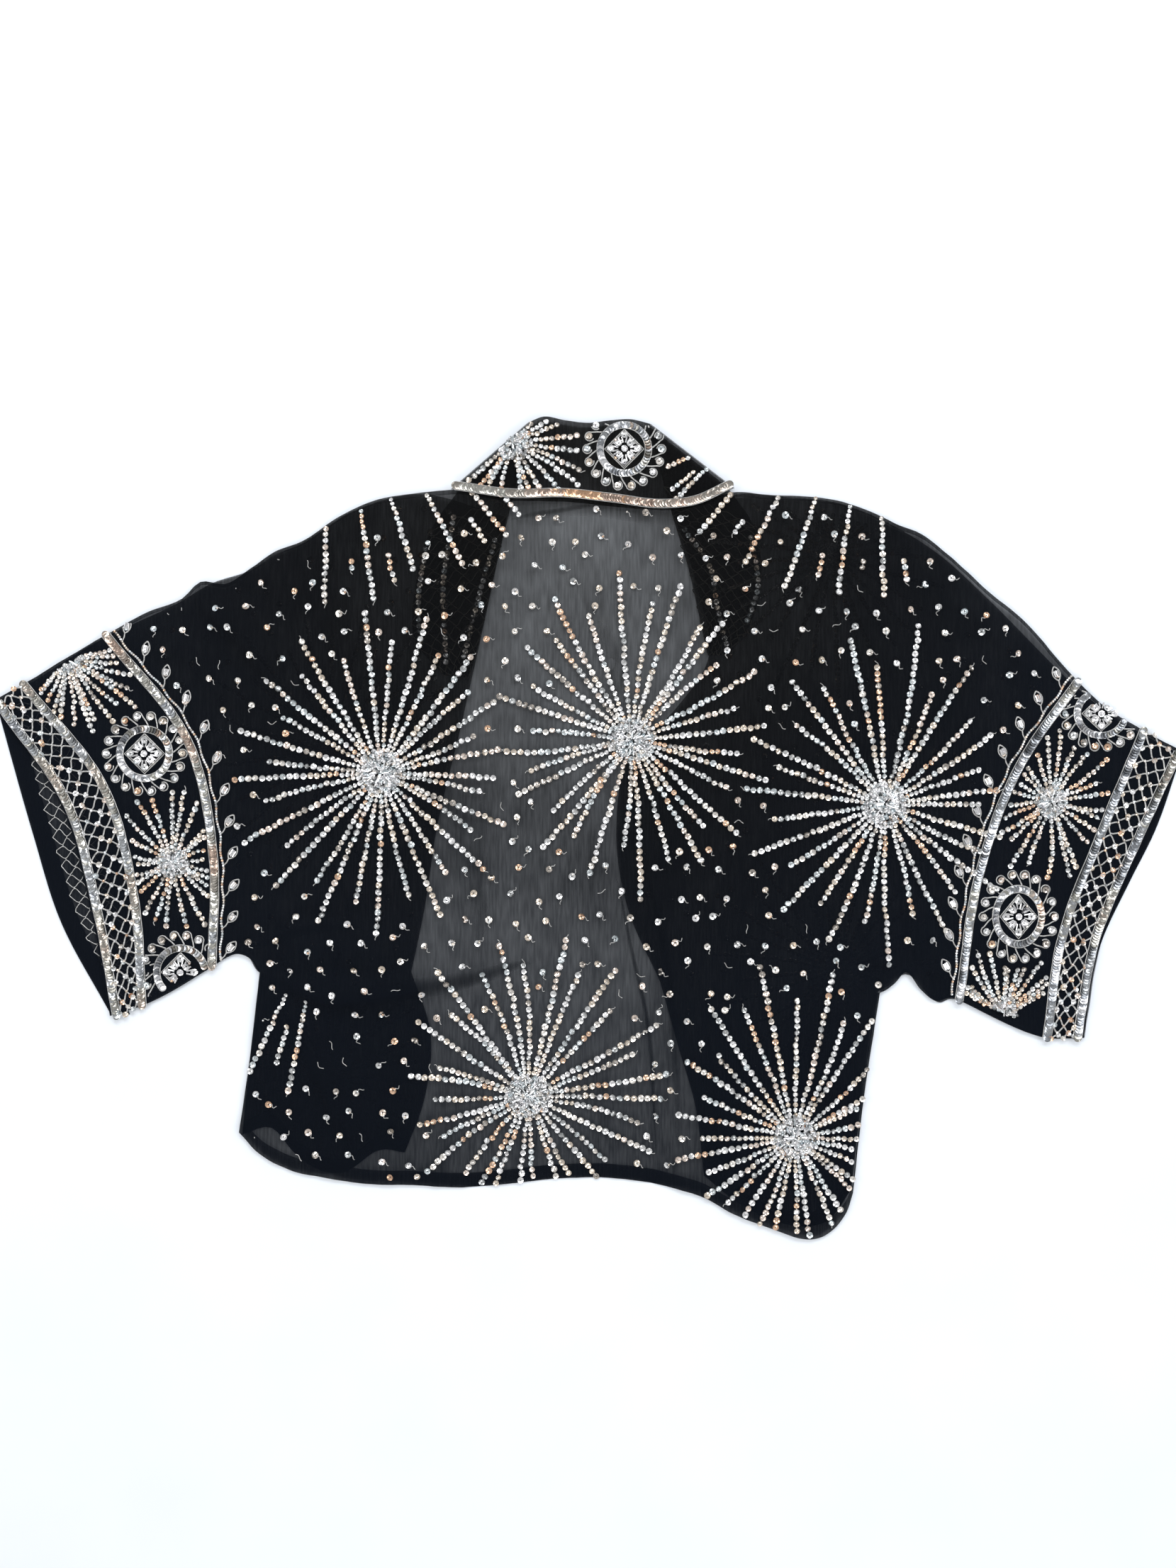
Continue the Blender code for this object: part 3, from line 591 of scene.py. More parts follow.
def build_collar(material):
    """The collar goes up from the neck seam, rolls over, and comes down to its trimmed edge."""
    edge, fold = along(COLLAR_EDGE, COLLAR_COLUMNS), along(COLLAR_FOLD, COLLAR_COLUMNS)
    lines = np.array([collar_section(low, high) for low, high in zip(edge, fold)])
    cloth = shell("cloth_collar", lines, material)
    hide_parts("collar")
    return np.vstack([edge, fold[::-1]])


def turned(profile, sides):
    """The points and faces of a profile of (radius, height) turned around the upright axis."""
    angles = np.arange(sides) * 2 * math.pi / sides
    points = [(r * math.cos(a), r * math.sin(a), z) for r, z in profile for a in angles]
    faces = [
        (ring * sides + i, ring * sides + (i + 1) % sides,
         (ring + 1) * sides + (i + 1) % sides, (ring + 1) * sides + i)
        for ring in range(len(profile) - 1)
        for i in range(sides)
    ]
    return np.array(points), np.array(faces)


def laid(shape):
    """A turned shape laid along the x axis."""
    points, faces = shape
    return points[:, [2, 1, 0]], faces[:, ::-1]


# Every small thing is a unit shape of radius or half-length 1: a cup sequin with its hole, a seed
# bead, a bugle bead and a flat sequin.
SHAPES = {
    "sequin": turned([(0.2, 0.0), (0.52, 0.03), (1.0, 0.27)], 10),
    "bead": turned([(0.02, -1), (0.72, -0.7), (1, 0), (0.72, 0.7), (0.02, 1)], 7),
    "bugle": laid(turned([(0.05, -1), (0.26, -0.97), (0.26, 0.97), (0.05, 1)], 6)),
    "scale": turned([(0.16, 0.0), (0.6, 0.01), (1.0, 0.08)], 12),
}
KINDS = ("sequin", "bead", "bugle", "scale", "thread")

# The threads' radii, and how high they lie
RAY_THREAD = (0.25, 0.4)
LOOSE_END = (0.26, 0.5)
TRIM_CORD = (0.35, 0.5)
STEM = (0.6, 0.5)
STALK_THREAD = (0.45, 0.5)
CORD = (0.5, 0.5)
RING_CORD = (0.5, 0.6)
DIAMOND_THREAD = (0.45, 0.6)
THREAD_SIDES = 4
SLOPE_STEP = 1.5
LEAN = 0.16
UNDERSIDE_LEAN = 0.3
MEDALLION_REACH = 1.62


class Embroidery:
    """Sequins, beads and threads on one stretch of cloth, which become one piece."""

    materials = []

    def __init__(self, name, height, outline=None, margin=2.5, facing=1, clear=()):
        self.name = name
        self.height = height
        self.outline = outline
        self.margin = margin
        self.facing = facing
        self.clear = clear
        self.things = {kind: [] for kind in SHAPES}
        self.threads = []
        self.vertices, self.faces, self.kinds, self.tints = [], [], [], []
        self.count = 0
        self.centres = np.empty((0, 2))

    def within(self, points):
        """Which points lie on the cloth and off the medallions."""
        keep = np.ones(len(points), bool)
        if self.outline is not None:
            keep = depth_in(points, self.outline) > self.margin
        for medallion in self.clear:
            gap = (points - (medallion.x, medallion.y)) / (medallion.across, medallion.up)
            keep &= np.linalg.norm(gap, axis=1) > MEDALLION_REACH
        return keep

    def add(self, kind, points, size, lean=LEAN, leans=0.0, spins=None, lift=0.5, tints=None):
        """Small things of a size, on the cloth at the points, each leaning a little its own way."""
        points = np.atleast_2d(points)
        count = len(points)
        spins = rng.uniform(0, 2 * math.pi, count) if spins is None else spins
        tints = rng.random(count) if tints is None else tints
        leans = rng.normal(0, lean, (count, 2)) + leans
        columns = [np.broadcast_to(each, count) for each in (size, lift, spins, tints)]
        self.things[kind].append(np.column_stack([points, leans, *columns]))

    def thread(self, line, radius=0.45, lift=0.5, tint=0.5):
        """A thread along a line, in as many stretches as lie on the cloth."""
        self.threads.append((np.asarray(line, float), radius, lift, tint))

    def take(self, points, faces, kind, tints):
        self.vertices.append(points)
        self.faces += (faces + self.count).tolist()
        self.kinds += [KINDS.index(kind)] * len(faces)
        self.tints.append(tints)
        self.count += len(points)

    def stamp(self, kind):
        """Makes all the small things of one kind that lie on the cloth."""
        rows = np.vstack(self.things[kind])
        rows = rows[self.within(rows[:, :2])]
        number = len(rows)
        if not number:
            return
        points = rows[:, :2]
        size, lift, spins, tints = rows[:, 4:].T
        self.centres = np.vstack([self.centres, points])
        level = self.height(points)
        normals = self.slope_normals(points, level, rows[:, 2:4])
        headings = np.column_stack([np.cos(spins), np.sin(spins), np.zeros(number)])
        sideways = np.cross(normals, headings)
        sideways /= np.linalg.norm(sideways, axis=1)[:, None]
        axes = np.stack([np.cross(sideways, normals), sideways, normals], axis=1)
        shape, faces = SHAPES[kind]
        centres = np.column_stack([points, level + lift * self.facing])
        turned_shapes = np.einsum("ij,njk->nik", shape, axes)
        copies = centres[:, None] + turned_shapes * (size / 2)[:, None, None]
        offsets = np.arange(number) * len(shape)
        all_faces = (faces[None] + offsets[:, None, None]).reshape(-1, faces.shape[1])
        self.take(copies.reshape(-1, 3), all_faces, kind, np.repeat(tints, len(shape)))

    def slope_normals(self, points, level, leans):
        """The cloth's normals at the points, each tilted by its lean."""
        ahead = [self.height(points + step) for step in ((SLOPE_STEP, 0), (0, SLOPE_STEP))]
        slopes = np.column_stack([each - level for each in ahead]) / SLOPE_STEP
        leans = leans * (1 if self.facing > 0 else UNDERSIDE_LEAN)
        normals = np.column_stack([leans - slopes, np.ones(len(points))])
        return self.facing * normals / np.linalg.norm(normals, axis=1)[:, None]

    def sew(self):
        """Makes all the threads, in the stretches that lie on the cloth."""
        places = np.vstack([line for line, *_ in self.threads])
        keep = self.within(places)
        centres = np.column_stack([places, self.height(places)])
        ends = np.cumsum([len(line) for line, *_ in self.threads])[:-1]
        for (_, radius, lift, tint), inside, centre in zip(
            self.threads, np.split(keep, ends), np.split(centres, ends)
        ):
            breaks = np.flatnonzero(np.diff(inside.astype(int))) + 1
            for kept, stretch in zip(np.split(inside, breaks), np.split(centre, breaks)):
                if kept[0] and len(stretch) > 1:
                    self.tube(stretch + (0, 0, lift * self.facing), radius, tint)

    def tube(self, centres, radius, tint):
        side = np.column_stack([across(centres[:, :2]), np.zeros(len(centres))])
        angles = np.arange(THREAD_SIDES) * 2 * math.pi / THREAD_SIDES
        up = np.array([0, 0, 1])
        ring = [side * math.cos(a) + up * math.sin(a) for a in angles]
        points = centres[:, None] + np.stack(ring, axis=1) * radius
        ids = np.arange(len(centres) * THREAD_SIDES).reshape(-1, THREAD_SIDES)
        after = np.roll(ids, -1, axis=1)
        faces = np.stack([ids[:-1], after[:-1], after[1:], ids[1:]], axis=2).reshape(-1, 4)
        self.take(points.reshape(-1, 3), faces, "thread", np.full(points.size // 3, tint))

    def build(self, replaces=()):
        """Joins all into one piece."""
        for kind, rows in self.things.items():
            if rows:
                self.stamp(kind)
        if self.threads:
            self.sew()
        vertices = np.vstack(self.vertices)
        piece = make_object(self.name, vertices, self.faces, self.materials, False)
        piece.data.polygons.foreach_set("material_index", np.array(self.kinds, np.int32))
        add_attribute(piece, "tint", np.concatenate(self.tints))
        if replaces:
            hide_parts(*replaces)


# A burst of sequin rays around a beaded heart. Its rays start at a distance from its centre, stand
# between two headings in degrees, and reach as far as is given towards each side.
Burst = namedtuple("Burst", "name x y heart start rays first last north east south west")
BACK_BURSTS = [
    Burst("burst_centre", 34, 68, 14, 11, 32, 0, 360, 130, 99, 112, 97),
    Burst("burst_left", -160, 42, 14, 11, 33, 4, 364, 124, 90, 122, 110),
    Burst("burst_right", 230, 18, 14, 11, 30, 2, 362, 128, 88, 114, 104),
    Burst("burst_hem_left", -46, -208, 14, 11, 31, 3, 363, 124, 100, 92, 88),
    Burst("burst_hem_right", 160, -240, 14, 11, 32, 5, 365, 128, 96, 90, 86),
    Burst("rays_left_shoulder", -198, 400, 0, 150, 10, 266, 315, 224, 224, 216, 216),
    Burst("rays_right_shoulder", 225, 400, 0, 150, 10, 229, 279, 220, 220, 218, 222),
    Burst("rays_left_side", -203, -60, 0, 76, 3, 243, 262, 140, 140, 140, 122),
]
LEFT_CUFF_BURSTS = [
    Burst("burst_left_cuff", -321, -27, 10, 8, 25, 0, 360, 70, 34, 58, 44),
    Burst("burst_left_cuff_fold", -402, 130, 9, 8, 20, 180, 380, 50, 64, 56, 50),
]
RIGHT_CUFF_BURSTS = [
    Burst("burst_right_cuff", 358, 20, 10, 8, 25, 0, 360, 66, 40, 66, 42),
    Burst("burst_right_cuff_underarm", 321, -146, 9, 8, 15, 20, 165, 64, 48, 40, 42),
]
COLLAR_BURSTS = [
    Burst("burst_collar", -58, 297, 11, 7, 27, 0, 360, 30, 72, 46, 48),
    Burst("rays_collar_end", 112, 298, 0, 30, 3, 193, 235, 66, 66, 60, 66),
]
# What the fronts carry on their outer side, under the jacket, mirrored from the back's
LEFT_FRONT_BURSTS = [
    Burst("burst_left_front", -198, 60, 0, 12, 30, 0, 360, 110, 90, 110, 100),
    Burst("burst_left_front_hem", -205, -190, 0, 12, 28, 0, 360, 100, 90, 90, 90),
]
RIGHT_FRONT_BURSTS = [
    Burst("burst_right_front", 190, 212, 0, 12, 30, 0, 360, 100, 90, 110, 90),
    Burst("burst_right_front_hem", 195, -110, 0, 12, 30, 0, 360, 118, 100, 110, 96),
]

# A ray's sequins grow from the small pitch to the large one. Every other ray is short: its shares
# are those of the reach, of the sequins' size and of the distance at which it starts.
SEQUIN_PITCH = 5.3
SMALL_PITCH = 3.6
SEQUIN_SHARE = 0.95
SIZE_RANGE = (0.88, 1.04)
LONG_RAY = (1, 1, 1)
SHORT_RAY = (0.77, 0.92, 1.3)
GROW_RUN = 38.0
# How unevenly the rays are sewn
RAY_TURN = 0.14
RAY_STRETCH = 0.035
RAY_BOW = 1.6
RAY_BEND = 2.0
RAY_SHAKE = 0.3
TAIL_CHANCE = 0.45
TAIL_LENGTH = 5.0
ALIKE_CHANCE = 0.35
# A heart's sequins, beads and bugle beads
GOLDEN_ANGLE = math.pi * (3 - math.sqrt(5))
HEART_PITCH = 1.1
HEART_SPREAD = 1.2
HEART_MOUND = 1.6
HEART_SEQUINS = (2.6, 3.8)
HEART_BUGLES = (3.4, 5.6)
SEED_BEAD = 1.8
FLAT_HEART_PITCH = 1.4
FLAT_HEART_SEQUIN = 3.0
COOL_TINTS = 0.5
PALE = 0.1
CUFF_WARMTH = 0.16
# The nets
NET_PITCH = 11.0
NET_ROW = 0.54
NET_ZIGZAG = 0.41
NET_SHAKE = 0.55
NET_STEPS = 8
NET_SEQUINS = (3.8, 4.8)
NET_BEAD = 2.4
UNDER_NET_WIDTH = 33


def reach_of(burst, angle):
    c, s = math.cos(angle), math.sin(angle)
    sideways = burst.east if c > 0 else burst.west
    upright = burst.north if s > 0 else burst.south
    return sideways * c * c + upright * s * s


def add_burst(piece, burst, scale=1.0, warmth=0.0):
    """Rays of sequins on their threads, long and short in turn, and the beaded heart."""
    centre = np.array([burst.x, burst.y], float)
    spread = math.radians(burst.last - burst.first) / burst.rays
    for ray in range(burst.rays):
        turn = ray + 0.5 + rng.uniform(-RAY_TURN, RAY_TURN)
        angle = math.radians(burst.first) + spread * turn
        reach_share, size_share, start_share = LONG_RAY if ray % 2 == 0 else SHORT_RAY
        length = reach_of(burst, angle) * rng.normal(1, RAY_STRETCH)
        length = burst.start + (length - burst.start) * reach_share
        big = SEQUIN_PITCH * scale * size_share
        distances = [burst.start * start_share]
        while distances[-1] < length:
            grown = ease((distances[-1] - burst.start) / GROW_RUN)
            distances.append(distances[-1] + SMALL_PITCH + (big - SMALL_PITCH) * grown)
        distances = np.array(distances)
        share = (distances - burst.start) / length
        aside = rng.normal(0, RAY_BOW) * np.sin(share * math.pi)
        aside += rng.normal(0, RAY_BEND) * share**2
        aside += rng.normal(0, RAY_SHAKE, len(distances))
        side = heading(angle + math.pi / 2)
        points = centre + np.outer(distances, heading(angle)) + np.outer(aside, side)
        sizes = np.append(np.diff(distances), big) * SEQUIN_SHARE
        sizes *= rng.uniform(*SIZE_RANGE, len(distances))
        piece.add("sequin", points, sizes, tints=ray_tints(len(points)) * (1 - warmth) + warmth)
        piece.thread(points, *RAY_THREAD)
        if rng.random() < TAIL_CHANCE:
            add_tail(piece, points[-1], angle)
    if burst.heart:
        add_heart(piece, centre, burst.heart)


def ray_tints(count):
    """Tints along a ray, which often stay alike for a few sequins."""
    tints = rng.random(count)
    for index in range(1, count):
        if rng.random() < ALIKE_CHANCE:
            tints[index] = tints[index - 1]
    return tints


def add_tail(piece, start, angle, length=TAIL_LENGTH):
    """The loose end of a thread."""
    steps = np.linspace(0, 1, 6)[:, None]
    side = heading(angle + math.pi / 2) * rng.uniform(0.6, 1.4)
    wave = np.sin(steps * 5 + rng.uniform(0, 3)) * side
    piece.thread(np.asarray(start) + steps * length * heading(angle) + wave, *LOOSE_END)


def spiral(centre, radius, count):
    """Evenly spread points over a disc, and how far each is from its centre."""
    order = np.arange(count) + 0.5
    distance = radius * np.sqrt(order / count)
    return centre + distance[:, None] * heading(order * GOLDEN_ANGLE), distance


def add_heart(piece, centre, radius):
    """A dense mound of leaning sequins, seed beads and bugle beads that point outwards."""
    points, distance = spiral(centre, radius * HEART_SPREAD, int((radius / HEART_PITCH) ** 2))
    count = len(points)
    points += rng.normal(0, 0.5, points.shape)
    mound = HEART_MOUND * (1 - ease(distance / radius - 0.3))
    cool = rng.uniform(0, COOL_TINTS, count)
    sizes = rng.uniform(*HEART_SEQUINS, count)
    piece.add("sequin", points, sizes, lean=0.5, lift=0.7 + mound, tints=cool)
    beads = np.arange(count) % 2 == 0
    places = points[beads] + rng.normal(0, 1, (beads.sum(), 2))
    piece.add("bead", places, SEED_BEAD, lift=1.5 + mound[beads], tints=cool[beads])
    spokes = int(radius * 3)
    turns = np.arange(spokes) * 2 * math.pi / spokes + rng.normal(0, 0.1, spokes)
    out = radius * rng.uniform(0.2, 0.95, spokes)
    ends = centre + out[:, None] * heading(turns)
    height = 1.9 + 1.4 * (1 - out / radius)
    sizes = rng.uniform(*HEART_BUGLES, spokes)
    tints = rng.uniform(0, COOL_TINTS, spokes)
    piece.add("bugle", ends, sizes, lean=0.16, spins=turns, lift=height, tints=tints)


def add_band(piece, line, trim):
    """A trim: flat sequins that overlap like scales, between two fine cords."""
    points = spaced(line, TRIM_PITCH)
    way = directions(points)
    share = np.linspace(0, 1, len(points))
    drift = np.cos((share - trim.warmest) * 2 * math.pi * trim.waves)
    wave = np.sin(share * 4 * math.pi * trim.waves + 5 * trim.warmest)
    # Painted shade: the dull stretches' sequins get greyer tints
    dull_shade = DULL_SHADE_TINT * ease(0.5 + 1.6 * wave)
    warmth = trim.warmth * (0.5 + 0.5 * drift)
    tints = trim.tint + dull_shade + warmth + rng.uniform(0, TRIM_TINTS, len(points))
    leans = way * (trim.lean * (1 - LEVEL_SHARE * ease(0.4 + 1.3 * wave)))[:, None]
    piece.add("scale", points, TRIM_SEQUIN, 0.08, leans, lift=1.1, tints=tints)
    aside = across(points) * (TRIM_WIDTH / 2 - TRIM_CORD_INSET)
    for sign in (-1, 1):
        piece.thread(points + sign * aside, *TRIM_CORD)


# Each trim runs along one of the back's sections, moved towards the body. Its sequins lean along
# it. Its warmth is how far its tints go towards copper, in waves from where it is warmest.
Trim = namedtuple("Trim", "node section shift lean tint warmth waves warmest")
EDGE_SHIFT = CUFF_MARGIN + TRIM_WIDTH / 2
TRIMS = [
    Trim("trim_left_cuff_edge", "left cuff", EDGE_SHIFT, -0.18, 0.12, 0.28, 2, 0.3),
    Trim("trim_left_cuff_middle", "left middle trim", 0.0, -0.18, 0.12, 0.28, 3, 0.35),
    Trim("trim_left_cuff_inner", "left inner trim", 0.0, -0.18, 0.12, 0.45, 3, 0.05),
    Trim("trim_right_cuff_inner", "right inner trim", 0.0, -0.33, 0.0, 0.16, 1.5, 0.05),
    Trim("trim_right_cuff_middle", "right middle trim", 0.0, -0.33, 0.0, 0.16, 1.5, 0.55),
    Trim("trim_right_cuff_edge", "right cuff", -EDGE_SHIFT, -0.33, 0.0, 0.34, 2, 0.1),
]
COLLAR_TRIM = Trim("trim_collar", None, 0.0, 0.2, 0.34, 0.42, 1, 0.55)
TRIM_PITCH = 2.1
TRIM_SEQUIN = 0.86 * TRIM_WIDTH
TRIM_CORD_INSET = 0.3
# In a trim's dull stretches its sequins lean less by a share, and are given greyer tints as painted
# shade
DULL_SHADE_TINT = 0.14
TRIM_TINTS = 0.16
LEVEL_SHARE = 0.6


def trim_line(node):
    (trim,) = [each for each in TRIMS if each.node == node]
    return section_line(BACK_SECTIONS, trim.section, trim.shift)


def build_trims():
    for trim in TRIMS:
        piece = Embroidery("sequin_" + trim.node, back_height)
        add_band(piece, trim_line(trim.node), trim)
        piece.build([trim.node])
    edge, fold = along(COLLAR_EDGE, COLLAR_COLUMNS), along(COLLAR_FOLD, COLLAR_COLUMNS)
    inset = (CUFF_MARGIN + TRIM_WIDTH) / 2 / np.linalg.norm(fold - edge, axis=1)
    piece = Embroidery("sequin_trim_collar", collar_height)
    add_band(piece, edge + inset[:, None] * (fold - edge), COLLAR_TRIM)
    piece.build(["trim_collar"])


def add_lattice(piece, outer, inner, radius=0.55, tint=0.5, knotted=True):
    """A net of threads with diamond holes between two lines, and sequins and beads at its knots."""
    columns = max(1, round(np.linalg.norm(inner - outer, axis=1).mean() / NET_PITCH))
    rows = round(knots_of(outer)[-1] / NET_PITCH / NET_ROW)
    row, step = np.meshgrid(np.arange(rows + 1), np.arange(2 * columns + 1), indexing="ij")
    toward = np.where((row + step) % 2 == 0, NET_ZIGZAG, -NET_ZIGZAG)
    down = np.clip((row + toward) / rows, 0, 1) * (len(outer) - 1)
    places = np.arange(len(outer))
    near, far = (
        np.stack([np.interp(down, places, line[:, axis]) for axis in (0, 1)], axis=2)
        for line in (outer, inner)
    )
    knots = near + (far - near) * (step / (2 * columns))[..., None]
    knots += rng.normal(0, NET_SHAKE, knots.shape)
    for line in knots:
        piece.thread(along(line, NET_STEPS * columns), radius, tint=tint)
    for start, end, even in zip(knots[:-1], knots[1:], (row + step)[:-1] % 2 == 0):
        for link in np.stack([start, end], axis=1)[even]:
            piece.thread(link, radius, tint=tint)
    if knotted:
        chance = rng.random(knots.shape[:2])
        sequins, beads = knots[chance < 0.3], knots[chance > 0.6]
        sizes = rng.uniform(*NET_SEQUINS, len(sequins))
        piece.add("sequin", sequins, sizes, lean=0.22, lift=0.9)
        piece.add("bead", beads, NET_BEAD, lift=0.8)


def build_lattices(left_outline):
    for side, inward in (("left", 1), ("right", -1)):
        edge = trim_line(f"trim_{side}_cuff_edge") + (inward * TRIM_WIDTH / 2, 0)
        middle = trim_line(f"trim_{side}_cuff_middle") - (inward * TRIM_WIDTH / 2, 0)
        piece = Embroidery(f"lattice_{side}_cuff", back_height)
        add_lattice(piece, edge, middle)
        piece.build()
    under = Embroidery("lattice_left_under_cuff", front_height, left_outline, 2.0)
    edge = section_line(LEFT_FRONT_SECTIONS, "cuff", CUFF_HEM_DEPTH)
    add_lattice(under, edge, edge + (UNDER_NET_WIDTH, 0), radius=0.3, knotted=False)
    under.build()


# The lapels' rows of small sequins, which show through the back
LAPEL_PITCH = 4.7
LAPEL_SEQUIN = 4.3
LAPEL_ROWS_OF_SEQUINS = [
    [(75, 230), (95, 200), (100, 170), (107, 142)],
    [(126, 224), (131, 182), (123, 160)],
    [(-126, 215), (-131, 180), (-130, 142)],
    [(-72, 222), (-84, 180), (-96, 132)],
    [(-104, 240), (-112, 190), (-110, 128)],
]


def inner_height(points):
    """Between the fronts and the back."""
    return front_height(points) - 0.2


def build_lapel_embroidery():
    piece = Embroidery("lapel_embroidery", inner_height)
    for strip in (LEFT_LAPEL, RIGHT_LAPEL):
        outer, inner = along(strip.outer, LAPEL_ROWS), along(strip.inner, LAPEL_ROWS)
        low = LAPEL_ROWS // 4
        add_lattice(piece, outer[low:], inner[low:], radius=0.35, tint=0.1, knotted=False)
    for row in LAPEL_ROWS_OF_SEQUINS:
        line = spaced(along(row, LINE_STEPS), LAPEL_PITCH)
        piece.add("sequin", line, LAPEL_SEQUIN, lean=0.25)
    piece.build()


STEM_PITCH = 2.0
STEM_OFFSET = 6.6
STEM_WAVE = 0.7
STEM_WAVE_LENGTH = 25
STEM_BEAD = 2.2
LEAF_EVERY = 12
STALK = 5.0
LEAF_LENGTH = 11.6
LEAF_WIDTH = 6.0
LEAF_SEQUINS = [(0.34, 3.6), (0.56, 4.0)]
LEAF_BUGLE = 5.0


def add_vine(piece, line, side):
    """A stem close beside a trim, with leaves on curved stalks."""
    stem = spaced(line, STEM_PITCH)
    turns = np.arange(len(stem)) * STEM_PITCH * 2 * math.pi / STEM_WAVE_LENGTH
    stem = stem + across(stem) * (side * (STEM_OFFSET + STEM_WAVE * np.sin(turns)))[:, None]
    piece.thread(stem, *STEM)
    piece.add("bead", stem, STEM_BEAD, lift=0.6)
    outs, ways = across(stem) * side, directions(stem)
    for index in range(5, len(stem) - 3, LEAF_EVERY):
        root, out, way = stem[index], outs[index], ways[index]
        tip = root + out * STALK - way * STALK / 2
        piece.thread(np.array([root + way * 2, root + out * STALK * 0.6, tip]), *STALK_THREAD)
        leaf_way = out * 0.75 - way * 0.66
        add_leaf(piece, tip, leaf_way / np.linalg.norm(leaf_way))


def add_leaf(piece, root, way):
    """A pointed leaf in outline, with sequins and bugle beads inside."""
    steps = np.linspace(0, 1, 9)
    side = np.array([-way[1], way[0]])
    for sign in (-1, 1):
        swell = sign * LEAF_WIDTH / 2 * np.sin(steps * math.pi) ** 0.8
        piece.thread(root + np.outer(steps * LEAF_LENGTH, way) + np.outer(swell, side), *CORD)
    shares, sizes = np.array(LEAF_SEQUINS).T
    piece.add("sequin", root + np.outer(LEAF_LENGTH * shares, way), sizes, lean=0.2)
    rows = root + 0.5 * LEAF_LENGTH * way + np.outer([-1.5, 0, 1.5], side)
    angle = math.atan2(way[1], way[0])
    piece.add("bugle", rows, LEAF_BUGLE, lean=0.1, spins=angle, lift=1.2, tints=PALE)


def build_vines(outline):
    for side, sign in (("left", 1), ("right", -1)):
        piece = Embroidery(f"vine_{side}", back_height, outline, 1.0)
        add_vine(piece, trim_line(f"trim_{side}_cuff_inner"), sign)
        piece.build()


# A medallion is as large as its half-width and half-height.
Medallion = namedtuple("Medallion", "name x y across up petals nodes")
CUFF_MEDALLIONS = {
    "left": [
        Medallion("medallion_left_cuff", -343, 57, 21.5, 21.5, 18, "left_cuff_medallion"),
        Medallion("medallion_left_underarm", -315, -112, 21.0, 21.0, 18, None),
    ],
    "right": [
        Medallion("medallion_right_cuff", 333, -69, 20.0, 24.0, 18, "right_cuff_medallion"),
        Medallion("medallion_right_fold", 397, 88, 21.0, 19.0, 18, None),
    ],
}
COLLAR_MEDALLION = Medallion("medallion_collar", 28, 292, 21.0, 21.0, 18, "collar_medallion")
RING_EDGES = (0.78, 1.0)
RING_STEPS = 49
RING_SEQUINS = 52
RING_SEQUIN = 5.4
RING_LEAN = 0.3
PETAL_SEQUIN = 5.2
PETAL_REACH = 1.36
PETAL_RADIUS = 3.4
PETAL_TURN = 4.6
PETAL_STALK = [(1.03, 0.3), (1.17, 0.22)]


def add_medallion(piece, medallion):
    """A sequinned ring with a diamond flower inside it and curling petals around it."""
    stretch = np.array([medallion.across, medallion.up])
    centre = np.array([medallion.x, medallion.y], float)

    def around(share, turns):
        return centre + share * stretch * heading(turns)

    circle = np.linspace(0, 2 * math.pi, RING_STEPS)
    for share in RING_EDGES:
        piece.thread(around(share, circle), *RING_CORD)
    ring = np.linspace(0, 2 * math.pi, RING_SEQUINS, endpoint=False)
    leans = heading(ring + math.pi / 2) * RING_LEAN
    tints = rng.random(len(ring)) * (0.5 + 0.4 * np.sin(ring + 1))
    places = around(sum(RING_EDGES) / 2, ring)
    piece.add("scale", places, RING_SEQUIN, 0.12, leans, lift=0.9, tints=tints)
    add_flower(piece, around)
    for turn in np.arange(medallion.petals) * 2 * math.pi / medallion.petals:
        middle = around(PETAL_REACH, turn)
        angles = turn - math.pi / 2 + np.linspace(0, PETAL_TURN, 10)
        loop = middle + PETAL_RADIUS * heading(angles)
        root, bend = (around(share, turn - back) for share, back in PETAL_STALK)
        piece.thread(np.vstack([root, bend, loop]), *CORD)
        piece.add("sequin", middle, PETAL_SEQUIN, lift=0.8)


# A flower's parts: at what share of the medallion's half-width they lie, and how large they are
DIAMOND_EDGES = (0.72, 0.64)
Part = namedtuple("Part", "share size")
CORNER_SEQUIN = Part(0.5, 5.6)
SIDE_SEQUIN = Part(0.3, 5.8)
SIDE_BEAD = Part(0.46, 2.4)
SPOKE_BUGLE = Part(0.34, 4.8)
SPOKE_TURNS = np.array([-0.5, -0.2, 0.2, 0.5])
MIDDLE_SEQUIN = Part(0.0, 5.4)
MIDDLE_BEAD = Part(0.0, 2.6)


def add_flower(piece, around):
    """A diamond outline with four pointed petals of beads around a sequin."""

    def put(kind, part, turns, **how):
        piece.add(kind, around(part.share, turns), part.size, **how)

    corners = np.linspace(0, 2 * math.pi, 5) + math.pi / 2
    for share in DIAMOND_EDGES:
        outline = around(share, corners)
        fine = np.vstack([a + (b - a) * s for a, b in zip(outline, outline[1:]) for s in (0, 0.5)])
        piece.thread(np.vstack([fine, outline[-1:]]), *DIAMOND_THREAD)
    for corner in corners[:-1]:
        side = corner + math.pi / 4
        spokes = corner + SPOKE_TURNS
        pale = rng.uniform(0, 0.3, 2)
        put("sequin", CORNER_SEQUIN, corner, lean=0.2, lift=1.0, tints=pale[0])
        put("sequin", SIDE_SEQUIN, side, lean=0.25, lift=1.0, tints=pale[1])
        put("bead", SIDE_BEAD, side, lift=1.2)
        put("bugle", SPOKE_BUGLE, spokes, lean=0.1, spins=spokes, lift=1.5, tints=PALE)
    put("sequin", MIDDLE_SEQUIN, 0.0, lean=0.1, lift=1.6, tints=PALE)
    put("bead", MIDDLE_BEAD, 0.0, lift=2.2, tints=PALE)


